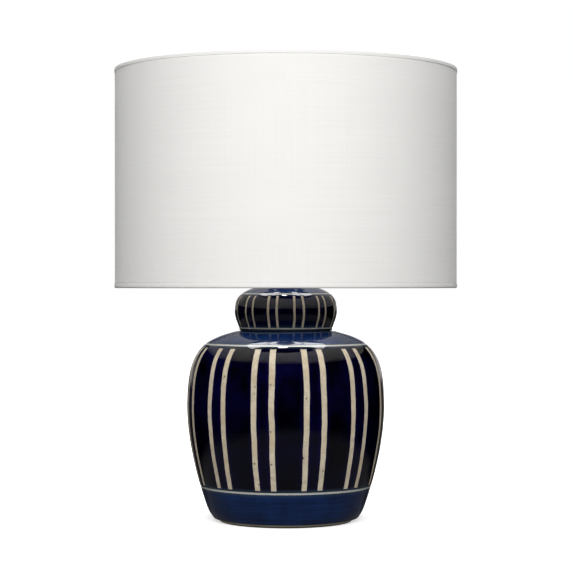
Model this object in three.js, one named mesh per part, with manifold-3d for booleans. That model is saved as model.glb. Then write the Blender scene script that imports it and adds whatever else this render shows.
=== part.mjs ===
// A striped ceramic jar lamp with a drum shade, as an assembly of separate solids.
// Millimetres, +Z up. The origin is the centre of the foot on the table, and the front is -Y.
import * as THREE from "three";
import { mergeVertices } from "three/addons/utils/BufferGeometryUtils.js";
import Module from "manifold-3d";

const wasm = await Module();
wasm.setup();

// ---- Driving dimensions ----
const GAP = 0.3; // between solids that touch

const SHADE_RADIUS = 216.9; // outside of the rolled hems: a 17 in drum
const SHADE_BOTTOM = 293.4;
const SHADE_TOP = 569.7;
const SPIDER_DROP = 14.4; // the fitter's washer sits this far below the top rim

const FELT_THICK = 1.2;
const JAR_WALL = 6.5;
const JAR_FLOOR_BOTTOM = 27; // the floor is raised, so the cord and nut stay off the table
const JAR_FLOOR_TOP = 34;
const SHOULDER_LEDGE = 239.5; // the flat that the lid stands on
const LID_TOP = 297.4;

const PIPE_RADIUS = 5.1; // 1/8 IP lamp pipe
const PIPE_BORE = 3.4;
const PIPE_CLEAR = PIPE_RADIUS + GAP;
const PIPE_BOTTOM = 14;
const PIPE_TOP = 328.5;

const CORD_HOLE_Z = 17; // in the back wall, below the jar's floor
const CORD_HOLE_RADIUS = 6;
const CORD_BORE = 3.8;

const SADDLE_BOTTOM = 320.3;
const SADDLE_THICK = 1.6;
const SADDLE_REACH = 24.8; // centre to the outside of an arm
const SADDLE_TOP = 338;
const TONGUE_BOTTOM = 326.3; // above this the arms narrow to tongues
const WIRE_RADIUS = 2; // harp wire
const HARP_TOP = 549; // centre of the wire at the top of the loop
const HARP_LEG_X = SADDLE_REACH + GAP + WIRE_RADIUS;
const SLEEVE_X = 26.15;
const STUD_SEAT = SHADE_TOP - SPIDER_DROP; // the shade's washer rests here

const SOCKET_AXIS_Z = 345; // the switch's shaft
const SOCKET_CORE_TOP = 352;
const SOCKET_RIM = 381;
const BULB_TIP = 357;
const BULB_RADIUS = 30;
const BULB_TOP = 466;

// How finely round things are faceted.
const JAR_SIDES = 40;
const SHADE_SIDES = 48;
const SMALL_SIDES = 20;
const WIRE_SIDES = 8;

// ---- Materials: colour, roughness, metalness ----
const finish = (color, roughness, metalness = 0, more = {}) =>
  new THREE.MeshStandardMaterial({ color, roughness, metalness, ...more });
const glaze = finish(0x0b1030, 0.12);
const linen = finish(0xf0eeea, 0.9);
const styrene = finish(0xf7f6f2, 0.6);
const brass = finish(0xb08d57, 0.32, 1);
const brassBright = finish(0xc8a45e, 0.25, 1);
const steel = finish(0xb9bbbd, 0.35, 1);
const whiteSteel = finish(0xe6e4df, 0.45, 0.2);
const felt = finish(0x23262b, 0.95);
const rubber = finish(0x151515, 0.8);
const phenolic = finish(0x1b1916, 0.5);
const paper = finish(0x8a7a5c, 0.9);
const opalGlass = finish(0xf4f3ee, 0.2, 0, { transparent: true, opacity: 0.9 });
const clearGlass = finish(0xe8eef0, 0.05, 0, { transparent: true, opacity: 0.5 });

// ---- Making solids ----
const lamp = new THREE.Group();

function add(name, geometry, material) {
  const mesh = new THREE.Mesh(geometry, material);
  mesh.name = name;
  lamp.add(mesh);
  return mesh;
}

// Only positions, with shared vertices merged and the faces pointing out.
function closed(geometry) {
  const bare = geometry.clone();
  bare.deleteAttribute("normal");
  bare.deleteAttribute("uv");
  const merged = mergeVertices(bare, 1e-3);
  const p = merged.attributes.position;
  const index = merged.index.array;
  const [a, b, c] = [new THREE.Vector3(), new THREE.Vector3(), new THREE.Vector3()];
  let volume = 0;
  for (let i = 0; i < index.length; i += 3) {
    a.fromBufferAttribute(p, index[i]);
    b.fromBufferAttribute(p, index[i + 1]);
    c.fromBufferAttribute(p, index[i + 2]);
    volume += a.dot(b.cross(c));
  }
  if (volume < 0) {
    for (let i = 0; i < index.length; i += 3) [index[i + 1], index[i + 2]] = [index[i + 2], index[i + 1]];
  }
  return merged;
}

// A solid of revolution about Z. The outline's points are [radius, z].
function lathe(outline, sides = SMALL_SIDES) {
  const points = outline.map(([r, z]) => new THREE.Vector2(r, z));
  return closed(new THREE.LatheGeometry(points, sides).rotateX(Math.PI / 2));
}

// The same, for an outline that closes on itself.
const latheRing = (outline, sides) => lathe([...outline, outline[0]], sides);

// A plain tube or washer about Z.
const sleeve = (inner, outer, z0, z1, sides) =>
  latheRing([[inner, z0], [outer, z0], [outer, z1], [inner, z1]], sides);

// A round bar along Y, from y0 to y1, at height z and offset x.
const barAlongY = (radius, y0, y1, z, x = 0, sides = SMALL_SIDES) =>
  closed(new THREE.CylinderGeometry(radius, radius, Math.abs(y1 - y0), sides).translate(x, (y0 + y1) / 2, z));

// A round bar along X.
const barAlongX = (radius, x0, x1, z, sides = 16) =>
  closed(
    new THREE.CylinderGeometry(radius, radius, Math.abs(x1 - x0), sides)
      .rotateZ(Math.PI / 2)
      .translate((x0 + x1) / 2, 0, z),
  );

const box = ([x0, y0, z0], [x1, y1, z1]) =>
  closed(new THREE.BoxGeometry(x1 - x0, y1 - y0, z1 - z0).translate((x0 + x1) / 2, (y0 + y1) / 2, (z0 + z1) / 2));

// A round wire of this radius along a curve through the points.
function wire(points, radius, steps, sides = WIRE_SIDES) {
  const path = new THREE.CatmullRomCurve3(points.map((p) => new THREE.Vector3(...p)), false, "centripetal");
  const section = new THREE.Shape(new THREE.EllipseCurve(0, 0, radius, radius).getPoints(sides).slice(0, sides));
  return closed(new THREE.ExtrudeGeometry(section, { steps, extrudePath: path, bevelEnabled: false }));
}

// A ring of round wire about Z.
function wireRing(centreRadius, z, radius, sides) {
  const outline = Array.from({ length: 6 }, (_, i) => {
    const turn = (i / 6) * 2 * Math.PI;
    return [centreRadius + radius * Math.cos(turn), z + radius * Math.sin(turn)];
  });
  return latheRing(outline, sides);
}

function solid(geometry) {
  return new wasm.Manifold(
    new wasm.Mesh({
      numProp: 3,
      vertProperties: geometry.attributes.position.array,
      triVerts: new Uint32Array(geometry.index.array),
    }),
  );
}

function geometryOf(made) {
  const mesh = made.getMesh();
  return new THREE.BufferGeometry()
    .setAttribute("position", new THREE.BufferAttribute(mesh.vertProperties, 3))
    .setIndex(new THREE.BufferAttribute(mesh.triVerts, 1));
}

// The geometry with the tools taken away from it.
const cut = (geometry, ...tools) =>
  geometryOf(tools.reduce((left, tool) => left.subtract(solid(tool)), solid(geometry)));

// Points along a smooth outline through these [radius, z] points.
function smooth(outline, divisions) {
  const curve = new THREE.SplineCurve(outline.map(([r, z]) => new THREE.Vector2(r, z)));
  return curve.getPoints(divisions).map((p) => [p.x, p.y]);
}

// An outline moved sideways by a distance, to its left as it runs.
function offset(outline, distance) {
  return outline.map(([r, z], i) => {
    const [r0, z0] = outline[Math.max(i - 1, 0)];
    const [r1, z1] = outline[Math.min(i + 1, outline.length - 1)];
    const length = Math.hypot(r1 - r0, z1 - z0);
    return [r - ((z1 - z0) / length) * distance, z + ((r1 - r0) / length) * distance];
  });
}

// ---- The jar ----
// The wall's outside, from the glaze line at the foot up to the lid's ledge.
const JAR_OUTSIDE = [
  [91.6, 4.6], [98.2, 15], [105.4, 36], [112.6, 61], [119.2, 91], [123.6, 124], [124.6, 152],
  [121.6, 185], [114.6, 207], [102, 223], [84, 232.8], [62, SHOULDER_LEDGE],
];
const jarWall = smooth(JAR_OUTSIDE, 17);
const jarInside = offset(smooth(JAR_OUTSIDE, 11), JAR_WALL)
  .filter(([r, z]) => z > JAR_FLOOR_TOP + 6 && r > 52)
  .reverse();
const JAR_MOUTH = 40.5;
const JAR_COLLAR = 46;
const COLLAR_TOP = 250.5;

function jarBody() {
  const body = latheRing(
    [
      [84.5, FELT_THICK + GAP],
      ...jarWall,
      [JAR_COLLAR, SHOULDER_LEDGE],
      [JAR_COLLAR, COLLAR_TOP - 1.5],
      [JAR_COLLAR - 1.5, COLLAR_TOP],
      [JAR_MOUTH, COLLAR_TOP],
      [JAR_MOUTH, SHOULDER_LEDGE - JAR_WALL],
      ...jarInside,
      [93, JAR_FLOOR_TOP],
      [7.5, JAR_FLOOR_TOP],
      [7.5, JAR_FLOOR_BOTTOM],
      [88, JAR_FLOOR_BOTTOM],
      [91.5, 23.5],
      [84, 7.5],
      [74, FELT_THICK + GAP],
    ],
    JAR_SIDES,
  );
  return cut(body, barAlongY(CORD_HOLE_RADIUS, 70, 120, CORD_HOLE_Z));
}

// A rubber bushing in the cord hole, whose flange follows the sloping wall.
function cordBushing() {
  const flangeFace = 103.2;
  const flange = cut(
    barAlongY(8.6, 84, flangeFace, CORD_HOLE_Z),
    latheRing(offset(jarWall, -GAP).slice(0, 8).concat([[20, 80], [20, 4.6]]), JAR_SIDES),
  );
  const neck = barAlongY(CORD_HOLE_RADIUS - GAP, 82, flangeFace, CORD_HOLE_Z);
  return cut(geometryOf(solid(flange).add(solid(neck))), barAlongY(CORD_BORE, 70, 120, CORD_HOLE_Z, 0, 16));
}

add("jar_body", jarBody(), glaze);
add("foot_felt", sleeve(73, 83.5, 0, FELT_THICK, JAR_SIDES), felt);
add("cord_bushing", cordBushing(), rubber);

// ---- The lid ----
const LID_OUTSIDE = [
  [59, SHOULDER_LEDGE + GAP + 2.6], [60.6, 247.6], [63.6, 256], [64.9, 266], [62.6, 278], [56.2, 286], [46, 291.6],
  [34, 295.2], [22, 297],
];
const lidWall = smooth(LID_OUTSIDE, 11);
const lidInside = offset(smooth(LID_OUTSIDE, 8), 6)
  .filter(([r, z]) => r > 20 && z > 248)
  .reverse();

add(
  "jar_lid",
  latheRing(
    [
      [58.4, SHOULDER_LEDGE + GAP],
      ...lidWall,
      [20, LID_TOP],
      [6, LID_TOP],
      [6, LID_TOP - 6],
      ...lidInside,
      [50, 243.5],
      [49, SHOULDER_LEDGE + GAP],
    ],
    JAR_SIDES,
  ),
  glaze,
);

// ---- What clamps the jar: one pipe from the base nut to the socket ----
function hexNut(acrossFlats, bore, z0, z1) {
  const corner = acrossFlats / Math.sqrt(3);
  const body = closed(
    new THREE.CylinderGeometry(corner, corner, z1 - z0, 6).rotateX(Math.PI / 2).translate(0, 0, (z0 + z1) / 2),
  );
  return cut(body, sleeveTool(bore, z0 - 1, z1 + 1));
}
const sleeveTool = (radius, z0, z1) => lathe([[0, z0], [radius, z0], [radius, z1], [0, z1]]);

const PLATE_TOP = JAR_FLOOR_BOTTOM - GAP;
add("lamp_pipe", sleeve(PIPE_BORE, PIPE_RADIUS, PIPE_BOTTOM, PIPE_TOP), steel);
add("base_plate", sleeve(PIPE_CLEAR, 28, PLATE_TOP - 1.4, PLATE_TOP), steel);
add("base_lock_washer", sleeve(PIPE_CLEAR, 9, PLATE_TOP - 2.9, PLATE_TOP - 1.4 - GAP), steel);
add("base_nut", hexNut(17.5, PIPE_CLEAR, PLATE_TOP - 7.6, PLATE_TOP - 2.9 - GAP), steel);

const CAP_BOTTOM = LID_TOP + GAP;
const CAP_TOP = 305;
add(
  "vase_cap",
  latheRing([
    [PIPE_CLEAR, CAP_TOP - 1.6], [18, CAP_BOTTOM + 2.2], [20, CAP_BOTTOM], [22, CAP_BOTTOM], [22, CAP_BOTTOM + 1.2],
    [19, CAP_BOTTOM + 4.4], [13, CAP_TOP - 1], [9, CAP_TOP], [PIPE_CLEAR, CAP_TOP],
  ]),
  brass,
);
add(
  "neck_spacer",
  latheRing([
    [PIPE_CLEAR, CAP_TOP + GAP], [8.5, CAP_TOP + GAP], [8.5, 307.4], [7, 308.6], [7, 316.7], [8.5, 317.9],
    [8.5, SADDLE_BOTTOM - GAP], [PIPE_CLEAR, SADDLE_BOTTOM - GAP],
  ]),
  brass,
);

// ---- The harp and what holds it ----
function harpSaddle() {
  const inner = SADDLE_REACH - SADDLE_THICK;
  const floor = SADDLE_BOTTOM + SADDLE_THICK;
  const bend = 3;
  const outline = new THREE.Shape();
  outline.moveTo(-SADDLE_REACH + bend, SADDLE_BOTTOM);
  outline.lineTo(SADDLE_REACH - bend, SADDLE_BOTTOM);
  outline.absarc(SADDLE_REACH - bend, SADDLE_BOTTOM + bend, bend, -Math.PI / 2, 0, false);
  outline.lineTo(SADDLE_REACH, SADDLE_TOP);
  outline.lineTo(inner, SADDLE_TOP);
  outline.absarc(inner - bend / 2, floor + bend / 2, bend / 2, 0, -Math.PI / 2, true);
  outline.absarc(-inner + bend / 2, floor + bend / 2, bend / 2, -Math.PI / 2, -Math.PI, true);
  outline.lineTo(-inner, SADDLE_TOP);
  outline.lineTo(-SADDLE_REACH, SADDLE_TOP);
  outline.absarc(-SADDLE_REACH + bend, SADDLE_BOTTOM + bend, bend, Math.PI, Math.PI * 1.5, false);
  const width = 13;
  const strip = closed(
    new THREE.ExtrudeGeometry(outline, { depth: width, bevelEnabled: false, curveSegments: 4 })
      .rotateX(Math.PI / 2)
      .translate(0, width / 2, 0),
  );
  const notches = [-1, 1].map((side) =>
    box([-40, side > 0 ? 3 : -20, TONGUE_BOTTOM], [40, side > 0 ? 20 : -3, SADDLE_TOP + 5]),
  );
  return cut(strip, sleeveTool(PIPE_CLEAR, SADDLE_BOTTOM - 1, floor + 1), ...notches);
}

// One side of the loop, from the leg's end to the top, as [x, z].
const HARP_SIDE = [
  [HARP_LEG_X, TONGUE_BOTTOM + GAP + 0.4], [HARP_LEG_X, 342], [HARP_LEG_X, 358], [34, 379], [46, 405], [54.5, 438],
  [56, 472], [49, 506], [33, 532], [14, 546],
];
const harpPath = [
  ...HARP_SIDE.map(([x, z]) => [-x, 0, z]),
  [0, 0, HARP_TOP],
  ...HARP_SIDE.map(([x, z]) => [x, 0, z]).reverse(),
];

add("harp_saddle", harpSaddle(), brass);
add("harp_wire", wire(harpPath, WIRE_RADIUS, 64), brass);
add(
  "harp_stud",
  cut(
    lathe([
      [0, 545], [6, 545], [6, 551.6], [8.5, 553], [8.5, STUD_SEAT - GAP], [3.1, STUD_SEAT - GAP], [3.1, 567.6],
      [2.4, 568.2], [0, 568.2],
    ]),
    wire(harpPath, WIRE_RADIUS + 0.4, 64),
  ),
  brass,
);
for (const [name, side] of [["left", -1], ["right", 1]]) {
  add(
    `harp_sleeve_${name}`,
    sleeve(4.6, 5.6, TONGUE_BOTTOM + GAP, TONGUE_BOTTOM + GAP + 12.4, 20).translate(side * SLEEVE_X, 0, 0),
    brass,
  );
}

// ---- The socket ----
const SOCKET_BOTTOM = SADDLE_BOTTOM + SADDLE_THICK + GAP;
const SHAFT_RADIUS = 1.9;
const switchHole = (radius) => barAlongY(radius, -40, -8, SOCKET_AXIS_Z, 0, 16);

add(
  "socket_cap",
  latheRing([
    [PIPE_CLEAR, SOCKET_BOTTOM], [9, SOCKET_BOTTOM], [9, 327.2], [13, 330.6], [17.2, 334.6], [17.4, 340.6],
    [16.7, 340.6], [16.6, 335.2], [12.4, 331.9], [8.4, 329.2], [PIPE_CLEAR, 329.2],
  ]),
  brass,
);
add("socket_set_screw", barAlongX(1.6, 9.3, 11.2, 324.8), steel);
add(
  "socket_shell",
  cut(
    latheRing([
      [15.7, 336.2], [16.3, 336.2], [16.3, 350.6], [17, 351.6], [17, 353.2], [16.3, 354.2], [16.3, SOCKET_RIM - 2],
      [17, SOCKET_RIM], [16.4, SOCKET_RIM], [15.7, SOCKET_RIM - 1.8],
    ]),
    switchHole(4),
  ),
  brass,
);
add("socket_liner", cut(sleeve(14.9, 15.4, 337, SOCKET_RIM + 0.6), switchHole(4.4)), paper);

const POCKET_X = 10.5; // flats on the core that the terminal screws sit on
const pocket = (side) =>
  box([side > 0 ? POCKET_X : -20, -5, 338], [side > 0 ? 20 : -POCKET_X, 5, 349.5]);
add(
  "socket_core",
  cut(
    lathe([[0, 333.4], [8.6, 333.4], [14.5, 337.2], [14.5, SOCKET_CORE_TOP], [0, SOCKET_CORE_TOP]]),
    barAlongY(SHAFT_RADIUS + GAP, -20, -4.5, SOCKET_AXIS_Z, 0, 12),
    pocket(1),
    pocket(-1),
  ),
  phenolic,
);
add("terminal_screw_live", barAlongX(3, POCKET_X + GAP, POCKET_X + 2.6, 344), brassBright);
add("terminal_screw_neutral", barAlongX(3, -POCKET_X - 2.6, -POCKET_X - GAP, 344), steel);

const SCREW_SHELL_BOTTOM = SOCKET_CORE_TOP + GAP;
const SCREW_SHELL_BORE = 13.5;
add(
  "screw_shell",
  latheRing([
    [6, SCREW_SHELL_BOTTOM], [14.1, SCREW_SHELL_BOTTOM], [14.1, SOCKET_RIM - 1.2], [SCREW_SHELL_BORE, SOCKET_RIM - 1.2],
    [SCREW_SHELL_BORE, SCREW_SHELL_BOTTOM + 0.6], [6, SCREW_SHELL_BOTTOM + 0.6],
  ]),
  brassBright,
);

// A sprung tongue that the bulb's tip presses on.
function centreContact() {
  const side = new THREE.Shape();
  side.moveTo(-4.6, SCREW_SHELL_BOTTOM);
  side.lineTo(0.6, SCREW_SHELL_BOTTOM);
  side.lineTo(3.4, 355.9);
  side.lineTo(-1.6, 356.2);
  side.lineTo(-1.6, 355.7);
  side.lineTo(2.4, 355.3);
  side.lineTo(0.2, SCREW_SHELL_BOTTOM + 0.5);
  side.lineTo(-4.6, SCREW_SHELL_BOTTOM + 0.5);
  return closed(
    new THREE.ExtrudeGeometry(side, { depth: 5, bevelEnabled: false }).rotateX(Math.PI / 2).translate(0, 2.5, 0),
  );
}
add("centre_contact", centreContact(), brassBright);

const KNOB_OUTER_Y = -36;
const KNOB_INNER_Y = -21;
add("switch_shaft", barAlongY(SHAFT_RADIUS, -31, -5, SOCKET_AXIS_Z, 0, 16), brass);

// A fluted knob, hollow where it takes the shaft.
function switchKnob() {
  const flutes = 10;
  const body = barAlongY(5.8, KNOB_OUTER_Y, KNOB_INNER_Y, SOCKET_AXIS_Z, 0, flutes * 3);
  const grooves = Array.from({ length: flutes }, (_, i) => {
    const turn = (i / flutes) * 2 * Math.PI;
    return barAlongY(1, KNOB_OUTER_Y - 1, KNOB_INNER_Y - 3, SOCKET_AXIS_Z + 6.2 * Math.sin(turn), 6.2 * Math.cos(turn), 8);
  });
  return cut(body, barAlongY(SHAFT_RADIUS + GAP, -31.4, KNOB_INNER_Y + 1, SOCKET_AXIS_Z, 0, 12), ...grooves);
}
add("switch_knob", switchKnob(), phenolic);

// ---- The bulb ----
const BULB_CAP_RADIUS = 13.1;
add("bulb_tip", lathe([[0, BULB_TIP], [2.6, BULB_TIP], [4.6, BULB_TIP + 1], [4.6, 359.2], [0, 359.2]], 16), steel);
add("bulb_insulator", lathe([[0, 359.5], [5.2, 359.5], [10.2, 363.4], [0, 363.4]]), rubber);
add(
  "bulb_cap",
  latheRing([
    [5, 363.7], [10.6, 363.7], [BULB_CAP_RADIUS, 366.6], [BULB_CAP_RADIUS, 384.6], [12.6, 384.6], [12.6, 366.9],
    [10.4, 364.2], [5, 364.2],
  ]),
  steel,
);

const BULB_OUTSIDE = [
  [12.2, 377], [12.2, 386], [14.6, 395], [21, 408], [27.6, 422], [BULB_RADIUS, 437], [26, 452.5], [14, 463.2],
  [0, BULB_TOP],
];
const bulbWall = smooth(BULB_OUTSIDE, 13);
// The inside ends on the axis, 1 mm below the crown.
const bulbInside = offset(bulbWall, 1).slice(0, -1).concat([[0, BULB_TOP - 1]]).reverse();
add("bulb_glass", latheRing([...bulbWall, ...bulbInside], 24), opalGlass);
add(
  "bulb_stem",
  lathe([[0, 372], [9, 372], [9, 374], [4.2, 385], [3.8, 404], [2.2, 409], [0, 410]], 16),
  clearGlass,
);
const FILAMENT_SIDE = [[5.4, 406], [8.4, 419], [12.6, 430.5], [6.5, 432.5]];
add(
  "bulb_filament",
  wire(
    [
      ...FILAMENT_SIDE.map(([x, z]) => [-x, 0, z]),
      [0, 0, 429.5],
      ...FILAMENT_SIDE.map(([x, z]) => [x, 0, z]).reverse(),
    ],
    0.5,
    24,
    6,
  ),
  steel,
);

// ---- The shade ----
const HEM_THICK = 0.8;
const HEM_HEIGHT = 5.6;
const LINEN_OUTSIDE = SHADE_RADIUS - HEM_THICK - GAP;
const LINEN_THICK = 0.7;
const LINER_OUTSIDE = LINEN_OUTSIDE - LINEN_THICK - GAP;
const LINER_THICK = 0.8;
const RING_WIRE = 2; // radius of the shade's rings
const RING_RADIUS = LINER_OUTSIDE - LINER_THICK - GAP - RING_WIRE;
const HEM_INSIDE = RING_RADIUS - RING_WIRE - GAP - HEM_THICK;
const EDGE = HEM_THICK + GAP; // how far the sheets stop short of the rims

add(
  "shade_linen",
  sleeve(LINEN_OUTSIDE - LINEN_THICK, LINEN_OUTSIDE, SHADE_BOTTOM + EDGE, SHADE_TOP - EDGE, SHADE_SIDES),
  linen,
);
add(
  "shade_liner",
  sleeve(LINER_OUTSIDE - LINER_THICK, LINER_OUTSIDE, SHADE_BOTTOM + EDGE, SHADE_TOP - EDGE, SHADE_SIDES),
  styrene,
);

// Each rim: a wire ring, and a strip of linen rolled over it. up is 1 at the top rim and -1 at the bottom.
function rim(name, edgeZ, up) {
  const at = (depth) => edgeZ - up * depth;
  const ringDepth = EDGE + RING_WIRE + 0.2;
  add(`shade_ring_${name}`, wireRing(RING_RADIUS, at(ringDepth), RING_WIRE, SHADE_SIDES), whiteSteel);
  add(
    `shade_hem_${name}`,
    latheRing(
      [
        [SHADE_RADIUS, at(HEM_HEIGHT)], [SHADE_RADIUS, at(0)], [HEM_INSIDE, at(0)],
        [HEM_INSIDE, at(ringDepth + 0.4)], [HEM_INSIDE + HEM_THICK, at(ringDepth + 0.4)],
        [HEM_INSIDE + HEM_THICK, at(HEM_THICK)], [SHADE_RADIUS - HEM_THICK, at(HEM_THICK)],
        [SHADE_RADIUS - HEM_THICK, at(HEM_HEIGHT)],
      ],
      SHADE_SIDES,
    ),
    linen,
  );
  return at(ringDepth);
}
rim("bottom", SHADE_BOTTOM, -1);
const topRingZ = rim("top", SHADE_TOP, 1);

// The spider: a washer on the harp's stud, and three arms welded under the top ring.
const WASHER_RADIUS = 13;
const WASHER_THICK = 1.6;
const ARM_RADIUS = 1.5;
const ARMS = 3;
const washerMiddle = STUD_SEAT + WASHER_THICK / 2;
const armEndZ = topRingZ - RING_WIRE - GAP - ARM_RADIUS;
add("spider_washer", sleeve(3.6, WASHER_RADIUS, STUD_SEAT, STUD_SEAT + WASHER_THICK), whiteSteel);
for (let i = 0; i < ARMS; i++) {
  const arm = wire(
    [
      [WASHER_RADIUS + GAP, 0, washerMiddle], [70, 0, washerMiddle], [150, 0, washerMiddle],
      [190, 0, washerMiddle + 0.6], [203, 0, armEndZ - 2.6], [RING_RADIUS, 0, armEndZ],
    ],
    ARM_RADIUS,
    24,
  ).rotateZ(Math.PI / 2 + (i / ARMS) * 2 * Math.PI);
  add(`spider_arm_${i + 1}`, arm, whiteSteel);
}

// ---- The finial, which screws down on the stud and clamps the washer ----
const FINIAL_BOTTOM = STUD_SEAT + WASHER_THICK + GAP;
const FINIAL_BORE = 3.5;
const BALL_RADIUS = 11;
const BALL_Z = 575;
add(
  "finial_base",
  latheRing([
    [FINIAL_BORE, FINIAL_BOTTOM], [7.5, FINIAL_BOTTOM], [7.5, FINIAL_BOTTOM + 1.4], [5.6, FINIAL_BOTTOM + 3.2],
    [5.6, FINIAL_BOTTOM + 5], [FINIAL_BORE, FINIAL_BOTTOM + 5],
  ]),
  brass,
);
const neckRadius = 6;
const lowest = -Math.acos(neckRadius / BALL_RADIUS);
const ballOutline = new THREE.EllipseCurve(0, BALL_Z, BALL_RADIUS, BALL_RADIUS, lowest, Math.PI / 2)
  .getPoints(10)
  .map((p) => [Math.max(p.x, 0), p.y]);
const knobBottom = FINIAL_BOTTOM + 5 + GAP;
add(
  "finial_ball",
  lathe([
    [0, 570], [FINIAL_BORE, 570], [FINIAL_BORE, knobBottom], [neckRadius, knobBottom], ...ballOutline.slice(0, -1),
    [0, BALL_Z + BALL_RADIUS],
  ]),
  brass,
);

export default lamp;
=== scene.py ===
"""A striped jar lamp with a linen drum shade: the finished pieces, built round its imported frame.

Lengths in the code are metres unless a name or a comment says millimetres. The lamp stands on
z = 0 with its axis on Z, and its front is -Y.
"""

import math

import bmesh
import bpy
from mathutils import Matrix, Vector, noise


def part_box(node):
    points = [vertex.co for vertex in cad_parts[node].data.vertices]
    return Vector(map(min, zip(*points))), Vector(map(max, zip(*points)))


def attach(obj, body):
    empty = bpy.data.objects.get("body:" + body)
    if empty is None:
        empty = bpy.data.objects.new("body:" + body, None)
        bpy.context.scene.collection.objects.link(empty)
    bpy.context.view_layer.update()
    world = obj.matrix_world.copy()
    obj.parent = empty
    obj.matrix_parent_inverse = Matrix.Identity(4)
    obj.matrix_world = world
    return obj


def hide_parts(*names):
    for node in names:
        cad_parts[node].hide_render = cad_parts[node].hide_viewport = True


bl_info = {
    "name": "Striped Jar Lamp",
    "version": (1, 0, 0),
    "blender": (4, 5, 0),
    "location": "3D View > Sidebar > Lamp",
    "description": "Builds the finished pieces of a ceramic table lamp round its packed frame",
    "category": "Add Mesh",
}

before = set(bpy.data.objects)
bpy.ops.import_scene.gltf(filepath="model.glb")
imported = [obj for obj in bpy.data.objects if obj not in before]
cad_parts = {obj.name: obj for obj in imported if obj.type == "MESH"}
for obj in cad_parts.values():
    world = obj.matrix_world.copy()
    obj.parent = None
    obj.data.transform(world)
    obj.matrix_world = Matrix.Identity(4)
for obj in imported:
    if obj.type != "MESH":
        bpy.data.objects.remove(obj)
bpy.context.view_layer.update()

MM = 0.001


def low(node):
    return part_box(node)[0]


def high(node):
    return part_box(node)[1]


def span(node):
    """The heights of a node's bottom and top."""
    return low(node).z, high(node).z


def level(node):
    """The height of a node's middle."""
    return (low(node).z + high(node).z) / 2


def mm(*points):
    """Points given in millimetres, in metres."""
    return [tuple(value * MM for value in point) for point in points]


# ---------------------------------------------------------------------------
# Outlines and curves
# ---------------------------------------------------------------------------


def catmull_rom(points, count):
    """Points along the smooth curve through these points, evenly spread in its parameter."""
    points = [Vector(p) for p in points]
    last = len(points) - 1
    made = []
    for step in range(count + 1):
        at = step / count * last
        i = min(int(at), last - 1)
        t = at - i
        p0, p1, p2, p3 = (points[min(max(i + k, 0), last)] for k in (-1, 0, 1, 2))
        v0, v1 = (p2 - p0) * 0.5, (p3 - p1) * 0.5
        cube, square = 2 * (p1 - p2) + v0 + v1, 3 * (p2 - p1) - 2 * v0 - v1
        made.append(cube * t**3 + square * t**2 + v0 * t + p1)
    return made


def eased(outline, radius, closed=True, steps=3):
    """The outline with each corner off the axis turned into a short curve."""
    made = []
    last = len(outline) - 1
    for i, point in enumerate(outline):
        here = Vector(point)
        if here.x < 1e-6 or (not closed and i in (0, last)):
            made.append(here)
            continue
        back = Vector(outline[i - 1]) - here
        on = Vector(outline[(i + 1) % len(outline)]) - here
        reach = min(radius, back.length * 0.45, on.length * 0.45)
        start, end = here + back.normalized() * reach, here + on.normalized() * reach
        for step in range(steps + 1):
            t = step / steps
            made.append(start.lerp(here, t).lerp(here.lerp(end, t), t))
    return made


def offset(curve, distance):
    """The curve moved sideways, to its left as it runs."""
    made = []
    for i, point in enumerate(curve):
        along = (curve[min(i + 1, len(curve) - 1)] - curve[max(i - 1, 0)]).normalized()
        made.append(point + Vector((-along.y, along.x)) * distance)
    return made


def both_sides(side, crown):
    """A loop in the XZ plane: one side's (x, z) points mirrored, with the crown between them."""
    return [(-x, 0, z) for x, z in side] + [(0, 0, crown)] + [(x, 0, z) for x, z in reversed(side)]


# ---------------------------------------------------------------------------
# Making pieces
# ---------------------------------------------------------------------------

SHARP_ANGLE = math.radians(38)
THIN_EDGE = 0.25 * MM


def piece(name, bm, material, body, replaces=(), sharp=SHARP_ANGLE):
    """Turns a bmesh into a finished object that rides on a body."""
    mesh = bpy.data.meshes.new(name)
    bm.to_mesh(mesh)
    bm.free()
    return finished(name, mesh, material, body, replaces, sharp)


def finished(name, mesh, material, body, replaces=(), sharp=SHARP_ANGLE):
    mesh.polygons.foreach_set("use_smooth", [True] * len(mesh.polygons))
    mesh.set_sharp_from_angle(angle=sharp)
    mesh.materials.clear()
    mesh.materials.append(material)
    obj = bpy.data.objects.new(name, mesh)
    bpy.context.scene.collection.objects.link(obj)
    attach(obj, body)
    if replaces:
        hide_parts(*replaces)
    return obj


def spun(outline, steps, closed=True, turns=1.0, rise=0.0):
    """A bmesh turned on the Z axis from an outline of (radius, height) points.

    With a rise per turn it winds up like a thread, and its ends are filled.
    """
    bm = bmesh.new()
    points = [bm.verts.new((p[0], 0, p[1])) for p in outline]
    edges = [bm.edges.new(pair) for pair in zip(points, points[1:])]
    if closed:
        edges.append(bm.edges.new((points[-1], points[0])))
    whole = rise == 0 and turns == 1.0
    bmesh.ops.spin(
        bm,
        geom=points + edges,
        cent=(0, 0, 0),
        axis=(0, 0, 1),
        dvec=(0, 0, rise * turns / steps),
        angle=math.tau * turns,
        steps=steps,
        use_merge=whole,
    )
    bmesh.ops.remove_doubles(bm, verts=bm.verts, dist=1e-7)
    if not whole:
        bmesh.ops.holes_fill(bm, edges=bm.edges, sides=0)
    bmesh.ops.recalc_face_normals(bm, faces=bm.faces)
    return bm


def lathe(outline, ease, steps, closed=True):
    """Turned from an outline whose corners are eased first. An open outline ends on the axis."""
    return spun(eased(outline, ease, closed), steps, closed)


def joined(*parts):
    """One bmesh that holds all of these."""
    whole = parts[0]
    for part in parts[1:]:
        mesh = bpy.data.meshes.new("joining")
        part.to_mesh(mesh)
        part.free()
        whole.from_mesh(mesh)
        bpy.data.meshes.remove(mesh)
    return whole


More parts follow.
